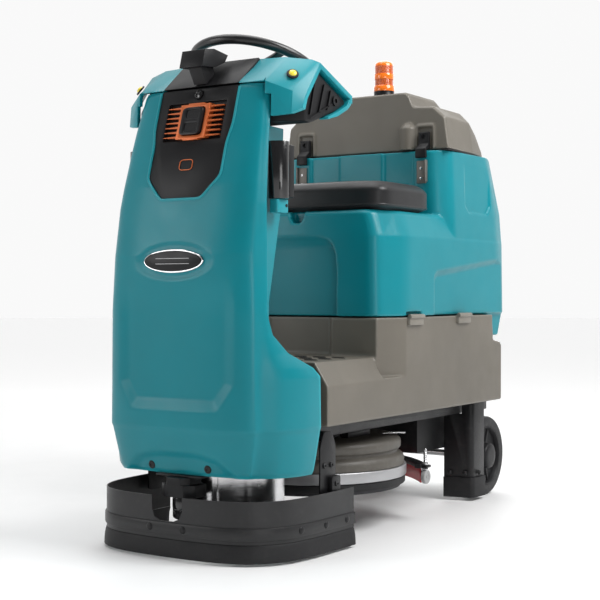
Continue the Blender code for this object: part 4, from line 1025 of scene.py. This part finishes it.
def skirt():
    sheet = prism(band(skirt_path(), 0.003), "Z", 0.05, 0.152)
    notch = mirrored(mm((-47, 170), (-46, 118), (-38, 100), (-20, 92.5)))
    sheet = cut(sheet, prism(notch, "Y", -0.76, -0.69))
    placed(bevelled(sheet, 0.0007, 1, 50), "skirt_wall", SKIRT, "skirt_panel", sharp=35)
    rings = []
    for z, out in mm((60, 0.4), (60.5, 2.6), (63.5, 3.8), (86, 3.8), (88.5, 2.6), (89, 0.4)):
        rings.append([(x, y, z) for x, y in skirt_path(out)])
    strip = thickened(loft(rings, caps=False, wrap=False), 0.001)
    placed(strip, "skirt_strip", SKIRT, "skirt_band", sharp=35)
    bolts = []
    half = skirt_path(0.0036)
    half = half[len(half) // 2:]
    for along in (0.09, 0.77, 0.893, 0.97):
        spot = Vector(half[int(along * (len(half) - 1))])
        after = Vector(half[int(along * (len(half) - 1)) + 1])
        run = (after - spot).normalized()
        for s in (-1, 1):
            dome = mm((0, -1), (9.8, -1), (9.5, 1), (7.5, 3), (3.6, 3.8), (0, 4))
            bolts.append(lathe(dome, (s * spot.x, spot.y, 0.0755), (s * run.y, -run.x, 0), 24))
    placed(gathered(*bolts), "skirt_bolts", STEEL_BLACK, slot="black_steel")
    rings = []
    for z, out in mm((6.2, 6.2), (20, 5.8), (33, 4.6), (43, 2.2), (49.4, 0.5)):
        rings.append([(x, y, z) for x, y in band(skirt_path(out), 0.005)])
    placed(bevelled(loft(rings), 0.0012, 2, 60), "skirt_lip", RUBBER, "skirt_rubber", sharp=50)


def brackets():
    for side, s in SIDES:
        x = s * 0.274
        plate = bevelled(prism(rounded(mm((-474, 112), (-402, 112), (-402, 262), (-420, 300), (-456, 300),
            (-474, 262)), 0.008, 3), "X", x - 0.0024, x + 0.0024),
                         0.0008, 2)
        foot = bevelled(prism(rounded_box(-0.44, 0.118, -0.4, 0.188, 0.008),
                              "X", s * 0.2725, s * 0.29), 0.0014, 2)
        bolts = []
        for y, z, reach in mm((-456, 215, 276.4), (-424, 215, 276.4), (-420, 168, 289.8)):
            bolts.append(lathe(mm((0, -1), (7.2, -1), (7.2, 3), (6, 4.2), (3, 4.2), (3, 2.2), (0, 2.2)),
                (s * reach, y, z), (s, 0, 0), 24))
        placed(gathered(plate, foot, *bolts), f"bracket_plate_{side}", STEEL_BLACK, f"skirt_bracket_{side}",
            slot="black_steel", sharp=35)


def scanner():
    half = mm((0, -708), (30, -708), (52, -688), (52, -644), (30, -630))
    outline = both_sides(half)
    housing = prism(outline, "Z", 0.146, 0.176)
    roof = prism([(x * 0.7, y) for x, y in outline], "Z", 0.175, 0.194)
    body = bevelled(join(housing, roof), 0.0018, 2, 25)
    placed(body, "scanner_housing", CHARCOAL, "scanner", slot="black_plastic", sharp=35)
    dome = mm((0, 112), (20, 112), (25, 115), (26, 120), (26, 140), (24, 145.5), (0, 145.5))
    placed(lathe(dome, (0, -0.67, 0)), "scanner_turret", GLOSS_BLACK, slot="black_plastic")
    ribs = [centred(s * 0.046, 0.003, (-0.7065, 0.15), (-0.69, 0.172)) for s in (-0.5, 0.5)]
    placed(gathered(*ribs), "scanner_ribs", BLACK)
    carried("chassis_frame", "frame_rails", STEEL_BLACK, 0.0012, 2, 40, slot="black_steel", sharp=35)


def shroud():
    """Bright sheet bent round the drive wheel, with pressed ribs and rivets."""
    radius, centre_y = 0.15, -0.47
    count = 120
    rings = []
    for z in [0.07 + 0.2012 * k / 24 for k in range(25)]:
        row = []
        for k in range(count + 1):
            a = math.radians(170 + 200 * k / count)
            degrees = 170 + 200 * k / count
            rib = sum(math.exp(-(((degrees - spot) / 2.2) ** 2)) for spot in (232, 262, 292, 322))
            bulge = -0.0016 * rib * step(z, 0.085, 0.1) * step(z, 0.262, 0.25)
            row.append(((radius + bulge) * math.cos(a), centre_y + (radius + bulge) * math.sin(a), z))
        rings.append(row)
    sheet = thickened(loft(rings, caps=False, wrap=False), 0.0018)
    placed(sheet, "shroud_sheet", STEEL, "wheel_shroud")
    rivets = []
    for degrees in (248, 276, 306, 334):
        a = math.radians(degrees)
        for z in (0.095, 0.165):
            spot = ((radius + 0.0008) * math.cos(a), centre_y + (radius + 0.0008) * math.sin(a), z)
            rivets.append(lathe(mm((0, 0), (3.5, 0), (2.5, 1.4), (0, 1.8)), spot,
                                (math.cos(a), math.sin(a), 0), 16))
    placed(gathered(*rivets), "shroud_rivets", STEEL)


def drive_unit():
    carried("steer_fork", "fork_casting", STEEL_BLACK, 0.0012, 2, 40, body="fork", slot="black_steel",
        sharp=35)
    w, r, y = 0.028, 0.105, DRIVE_Y
    tread = [(0.062, -w), (r - 0.01, -w), (r - 0.003, -w + 0.002), (r, -w + 0.006)]
    for k in range(4):
        x = -0.015 + 0.01 * k
        tread += [(r, x - 0.0016), (r - 0.003, x - 0.001), (r - 0.003, x + 0.001), (r, x + 0.0016)]
    tread += [(r, w - 0.006), (r - 0.003, w - 0.002), (r - 0.01, w), (0.062, w)]
    placed(lathe(tread, (0, y, r), (1, 0, 0), 72), "drive_tyre", TYRE, "drive_wheel", body="drive")
    hub = mm((0, -47), (10, -47), (10, -34), (52, -34), (60, -30), (61.8, -24), (61.8, 24), (60, 30),
        (52, 34), (10, 34), (10, 47), (0, 47))
    placed(lathe(hub, (0, y, r), (1, 0, 0), 72), "drive_hub", SILVER, body="drive")


# Rear wheels and guards


def rear_wheels():
    y, r = REAR_AXLE_Y, 0.125
    inner, outer = 0.17, 0.218
    placed(cylinder(0.012, -0.216, 0.216, (0, y, r), (1, 0, 0), 40), "axle_bar", STEEL, "rear_axle")
    for side, s in SIDES:
        tread = [(0.094, inner), (r - 0.012, inner), (r - 0.003, inner + 0.003), (r, inner + 0.009)]
        for k in range(3):
            x = inner + 0.014 + 0.01 * k
            tread += [(r, x - 0.0014), (r - 0.0022, x - 0.0008), (r - 0.0022, x + 0.0008), (r, x + 0.0014)]
        tread += [(r, outer - 0.009), (r - 0.003, outer - 0.003), (r - 0.012, outer), (0.094, outer - 0.001)]
        placed(lathe(tread, (0, y, r), (s, 0, 0), 80), f"rear_tyre_{side}", TYRE, f"rear_wheel_{side}",
            body=f"wheel_{side}")
        rim = [(0.0126, inner + 0.001), (0.0925, inner + 0.001), (0.0938, inner + 0.004),
            (0.0938, outer - 0.004),
               (0.0925, outer - 0.001), (0.09, outer - 0.001), (0.088, outer - 0.004), (0.085, outer - 0.014),
               (0.046, outer - 0.016), (0.041, outer - 0.013), (0.04, outer + 0.006), (0.038, outer + 0.01),
               (0.032, outer + 0.0128), (0.018, outer + 0.0132), (0, outer + 0.0132), (0, outer + 0.001),
               (0.0126, outer + 0.001)]
        placed(lathe(rim, (0, y, r), (s, 0, 0), 80), f"rear_rim_{side}", CHARCOAL, body=f"wheel_{side}",
            slot="black_plastic")
        webs = []
        for k in range(5):
            a = 2 * math.pi * k / 5
            spoke = Vector((0, math.cos(a), math.sin(a)))
            across = Vector((0, -spoke.z, spoke.y))
            rings = []
            for reach, half in ((0.04, 0.006), (0.086, 0.004)):
                corners = ((-half, 0), (half, 0), (half * 0.6, 0.005), (-half * 0.6, 0.005))
                rings.append([Vector((s * (outer - 0.0155 + v), y, r)) + spoke * reach + across * u
                              for u, v in corners])
            webs.append(loft(rings))
        placed(gathered(*webs), f"rear_webs_{side}", CHARCOAL, body=f"wheel_{side}", slot="black_plastic")


def guards():
    for side, s in SIDES:
        path = [(s * 0.146, 0.452), (s * 0.236, 0.47), (s * 0.238, 0.548)]
        fine = smooth_corner(path, 0.014)
        sheet = prism(band(fine, s * 0.004), "Z", 0.058, 0.3085)
        slot = centred(s * 0.185, 0.0165, (0.44, 0.2705), (0.5, 0.32))
        sheet = bevelled(cut(sheet, slot), 0.0008, 2, 50)
        placed(sheet, f"guard_sheet_{side}", STEEL_BLACK, f"wheel_guard_{side}", slot="black_steel", sharp=35)
        outer = smooth_corner([(s * 0.146, 0.4475), (s * 0.2405, 0.4665), (s * 0.243, 0.548)], 0.014)
        strip = bevelled(prism(band(outer, s * 0.0058), "Z", 0.01, 0.072), 0.001, 2, 50)
        placed(strip, f"guard_strip_{side}", RUBBER, sharp=35)
        bolts = []
        for x, y, nx, ny in ((0.166, 0.4505, 0.2, -1), (0.214, 0.46, 0.2, -1), (0.242, 0.505, 1, 0)):
            bolts.append(lathe(mm((0, -2), (7.5, -2), (7.2, 2.2), (5.5, 4.2), (2.5, 4.8), (0, 4.9)),
                (s * x, y, 0.086), (s * nx, ny, 0), 24))
        placed(gathered(*bolts), f"guard_bolts_{side}", STEEL_BLACK, slot="black_steel")


def smooth_corner(path, radius, steps=6):
    """An open 2D path with its inner corners rounded."""
    found = [tuple(path[0])]
    for before, here, after in zip(path, path[1:], path[2:]):
        before, here, after = Vector(before), Vector(here), Vector(after)
        first = here + (before - here).normalized() * radius
        last = here + (after - here).normalized() * radius
        for k in range(steps + 1):
            u = k / steps
            found.append(tuple(first * (1 - u) ** 2 + here * 2 * u * (1 - u) + last * u * u))
    return found + [tuple(path[-1])]


# Deck, brush and squeegee


def deck():
    top = 0.25
    profile = [
        (0, top - 0.065), (0, top), (0.09, top), (0.232, top - 0.004), (0.246, top - 0.008),
            (0.2525, top - 0.014),
        (0.2545, top - 0.022), (0.254, top - 0.034), (0.25, top - 0.0395), (0.245, top - 0.041),
        (0.244, top - 0.044), (0.245, top - 0.048), (0.256, top - 0.053), (0.261, top - 0.058),
        (0.2635, top - 0.066), (0.264, top - 0.0815), (0.259, top - 0.0815), (0.2555, top - 0.065),
    ]
    placed(lathe(profile, (0, DECK_Y, 0), segments=128), "deck_shell", DECK, "deck_housing", body="deck")
    hoop = mm((259.2, 137.8), (268, 137.8), (269.7, 139.2), (270, 141), (270, 164), (269.7, 165.5),
        (268.5, 166.8), (259.2, 166.8))
    placed(lathe(hoop, (0, DECK_Y, 0), segments=128), "deck_hoop", SILVER, "deck_band", body="deck")
    lip = mm((257.2, 116.2), (265, 116.2), (266.5, 118), (266.5, 135), (265, 136.6), (259.2, 136.6),
        (257.2, 135))
    placed(lathe(lip, (0, DECK_Y, 0), segments=128), "deck_lip", RUBBER, "splash_skirt", body="deck")
    motor = mm((0, 250.6), (78, 250.6), (78, 272), (74, 276.5), (66.5, 283), (66.5, 300))
    for k in range(7):
        z = 0.306 + 0.012 * k
        motor += [(0.0665, z), (0.0635, z + 0.0015), (0.0635, z + 0.0045), (0.0665, z + 0.006)]
    motor += mm((66, 396), (60, 403.5), (0, 403.5))
    placed(lathe(motor, (0, DECK_Y, 0), segments=64), "motor_case", STEEL_BLACK, "brush_motor", body="deck",
        slot="black_steel")
    placed(cylinder(0.01, 0.2506, 0.44, (0, -0.215, 0)), "lift_screw", STEEL, "lift_rod", body="deck")
    arms = []
    for s in (-1, 1):
        arms.append(bevelled(centred(s * 0.15, 0.011, (-0.15, 0.2475), (-0.03, 0.264)), 0.002, 2))
        arms.append(bevelled(centred(s * 0.15, 0.004, (-0.11, 0.262), (-0.066, 0.27)), 0.0015, 2))
    placed(gathered(*arms), "deck_clevises", STEEL_BLACK, body="deck", slot="black_steel")
    lever = smooth_points(mm((200, -30, 253), (222, 10, 253.5), (226, 50, 250), (204, 92, 248)), 6)
    placed(tube(lever, 0.0026, 10), "pad_release", STEEL, body="deck")
    loops = [tube(smooth_points(mm((80, -120, 262), (118, -150, 266), (150, -190, 259), (120, -240, 256),
        (60, -250, 256)), 6), 0.0048, 10),
             tube(smooth_points(mm((78, -70, 264), (110, -50, 266), (130, 10, 260), (90, 60, 255)), 6),
                 0.0042, 10)]
    placed(gathered(*loops), "motor_leads", RUBBER, body="deck")


def brush():
    plate = mm((0, 134), (250, 134), (253, 136), (253, 140), (230, 150), (80, 152), (80, 183.6), (0, 183.6))
    placed(lathe(plate, (0, DECK_Y, 0), segments=96), "pad_driver", BLACK, "scrub_brush", body="brush",
        slot="brush_nylon")
    pad = [(0.0, 0.1062)]
    for k in range(1, 13):
        radius = 0.0205 * k
        pad += [(radius - 0.004, 0.1062), (radius, 0.107)]
    pad += mm((253, 106.6), (254, 109), (254, 131), (252, 133.6), (0, 133.6))
    placed(lathe(pad, (0, DECK_Y, 0), segments=128), "scrub_pad", BRISTLE, body="brush")


def squeegee():
    def path(steps=24):
        xs = [0.262 * k / steps for k in range(steps + 1)]
        return both_sides([(x, 0.24 - 2.3 * x * x) for x in xs])

    bar = bevelled(prism(band(offset(path(), -0.014), 0.028), "Z", 0.148, 0.162), 0.002, 2, 50)
    block = bevelled(box((-0.036, 0.2155, 0.1605), (0.036, 0.2645, 0.205)), 0.003, 3)
    pipe = lathe(mm((17, 200), (22, 200), (22, 239.6), (17, 239.6)), (0, 0.24, 0), segments=40)
    placed(gathered(bar, block, pipe), "squeegee_bar", STEEL_BLACK, "squeegee_frame", body="squeegee",
        slot="black_steel", sharp=35)
    upper = bevelled(prism(band(offset(path(), 0.002), -0.004), "Z", 0.1066, 0.1474), 0.0008, 2, 50)
    placed(upper, "blade_strip", RED_RUBBER, "squeegee_blade", body="squeegee", sharp=35)
    for side, s in SIDES:
        arm = bevelled(centred(s * 0.262, 0.01, (0.06, 0.1495), (0.098, 0.1635)), 0.002, 2)
        plate = bevelled(centred(s * 0.277, 0.0112, (0.066, 0.1512), (0.094, 0.1585)), 0.0015, 2)
        placed(gathered(arm, plate), f"squeegee_arm_{side}", STEEL_BLACK, body="squeegee", slot="black_steel")
        stem = [(0, 0.15), (0.005, 0.15)]
        for k in range(12):
            z = 0.166 + 0.003 * k
            stem += [(0.0043, z), (0.005, z + 0.0015)]
        stem += mm((4.4, 203.6), (3.4, 204.8), (0, 204.8))
        nuts = [lathe([(0, low), (0.0092, low), (0.0098, low + 0.001), (0.0098, low + 0.0055),
            (0.0092, low + 0.0065),
                       (0, low + 0.0065)], (s * STEM_X, STEM_Y, 0), segments=6) for low in (0.1588, 0.143)]
        cheek = bevelled(centred(s * 0.2695, 0.0015, (0.07, 0.112), (0.086, 0.1525)), 0.0008, 1)
        placed(gathered(lathe(stem, (s * STEM_X, STEM_Y, 0), segments=24), cheek, *nuts),
            f"roller_stem_{side}", STEEL, body="squeegee", sharp=35)
        wheel = mm((0, -5.8), (18.6, -5.8), (19.8, -4.6), (20, 0), (19.8, 4.6), (18.6, 5.8), (10, 5.8),
            (9.5, 4.6), (5, 4.6), (4.5, 5.8), (0, 5.8))
        placed(lathe(wheel, (s * 0.279, 0.078, 0.1255), (s, 0, 0), 48), f"roller_wheel_{side}", GREY,
            f"squeegee_roller_{side}", body=f"roller_{side}")


# Inner and remaining nodes, carried over with better edges


def carried_over():
    wanted = (
        ("battery_left", "chassis", "black_plastic", BLACK, 0.004),
        ("battery_right", "chassis", "black_plastic", BLACK, 0.004),
        ("lift_actuator", "chassis", "black_steel", STEEL_BLACK, 0.001),
        ("vacuum_motor", "tank_unit", "charcoal_plastic", CHARCOAL, 0.0015),
        ("fill_cap", "cap", "black_plastic", BLACK, 0.0012),
        ("drive_pedal", "pedal", "black_rubber", RUBBER, 0.004),
    )
    for node, body, slot, look, width in wanted:
        carried(node, f"{node}_shell", look, width, 3, 35, body=body, slot=slot, sharp=35)
    route = mm((160, 629, 900), (160, 648, 899), (162, 676, 860), (170, 684, 720), (176, 684, 560))
    points = smooth_points(route, 48)
    rings = []
    turn = None
    for i, point in enumerate(points):
        tangent = (points[min(i + 1, len(points) - 1)] - points[max(i - 1, 0)]).normalized()
        if turn is None:
            turn = Vector((0, 0, 1)).rotation_difference(tangent)
        else:
            turn = last.rotation_difference(tangent) @ turn
        last = tangent
        radius = 0.0198 + 0.0011 * math.cos(i * math.pi / 2)
        rings.append([point + turn @ Vector((radius * c, radius * s, 0)) for c, s in around(20)])
    plug = lathe(mm((0, 520.2), (23.5, 520.2), (26.5, 523), (27, 527), (27, 562), (25.5, 565.5), (0, 566)),
        (0.176, 0.684, 0), segments=40)
    placed(gathered(loft(rings), plug), "drain_hose_tube", RUBBER, "drain_hose", body="tank_unit")


# Floor, light and camera


def stage():
    bm = bmesh.new()
    bmesh.ops.create_circle(bm, cap_ends=True, radius=30, segments=96)
    floor = linked(bm, "floor")
    floor.location.z = -0.0002
    paint = surface("floor_paint_with_painted_glow", (0.86, 0.86, 0.86), 0.55, drift=0.01, grain=0.03)
    tree = paint.node_tree
    # Painted glow: the floor emits light that grows with distance from the machine, from none within 1.6 m to 0.42
    # at 5 m, so the far floor turns as bright as the background; the floor is no lamp.
    place = tree.nodes.new("ShaderNodeTexCoord")
    reach = tree.nodes.new("ShaderNodeVectorMath")
    reach.operation = "LENGTH"
    tree.links.new(place.outputs["Object"], reach.inputs[0])
    shader = tree.nodes["Principled BSDF"]
    shader.inputs["Emission Color"].default_value = (1, 1, 1, 1)
    tree.links.new(ranged(tree, reach.outputs["Value"], 1.6, 5.0, 0, 0.42),
        shader.inputs["Emission Strength"])
    floor.data.materials.append(paint)
    world = bpy.data.worlds.new("studio")
    world.use_nodes = True
    bpy.context.scene.world = world
    tree = world.node_tree
    place = tree.nodes.new("ShaderNodeTexCoord")
    facing = tree.nodes.new("ShaderNodeVectorMath")
    facing.operation = "DOT_PRODUCT"
    facing.inputs[1].default_value = (-0.54, 0.82, 0.18)
    tree.links.new(place.outputs["Generated"], facing.inputs[0])
    background = tree.nodes["Background"]
    background.inputs["Color"].default_value = (1, 1, 1, 1)
    tree.links.new(ranged(tree, facing.outputs["Value"], -0.2, 0.75, 0.15, 0.95),
        background.inputs["Strength"])
    for name, spot, size, power in (
        ("key", (2.4, 0.2, 3.0), 1.8, 118), ("front", (-2.4, -3.4, 1.7), 1.6, 30),
            ("top", (-0.4, -0.3, 3.6), 2.4, 50),
        ("low", (3.2, -2.6, 0.9), 1.2, 16), ("rear", (-1.6, 3.0, 2.6), 2.0, 30),
    ):
        lamp = bpy.data.lights.new(name, "AREA")
        lamp.size = size
        lamp.energy = power
        holder = bpy.data.objects.new(name, lamp)
        holder.location = spot
        holder.rotation_euler = (Vector((0, 0, 0.6)) - Vector(spot)).to_track_quat("-Z", "Y").to_euler()
        bpy.context.scene.collection.objects.link(holder)


def camera():
    lens = bpy.data.cameras.new("camera")
    lens.lens = 78
    lens.sensor_width = 36
    lens.shift_y = -0.0123
    holder = bpy.data.objects.new("camera", lens)
    holder.location = (2.0, -3.19, 0.646)
    holder.rotation_euler = (math.radians(90), 0, 0.581121673)
    bpy.context.scene.collection.objects.link(holder)
    bpy.context.scene.camera = holder
    bpy.context.scene.view_settings.view_transform = "Standard"


camera()
stage()
front_shell()
window_bead()
cover_bolts()
badge()
panel()
heat_sink()
camera_block()
console()
marker_lights()
controls()
steering()
tower()
base_shell()
tank_shell()
lid_shell()
latches()
beacon()
seat()
skirt()
brackets()
scanner()
shroud()
drive_unit()
rear_wheels()
guards()
deck()
brush()
squeegee()
carried_over()
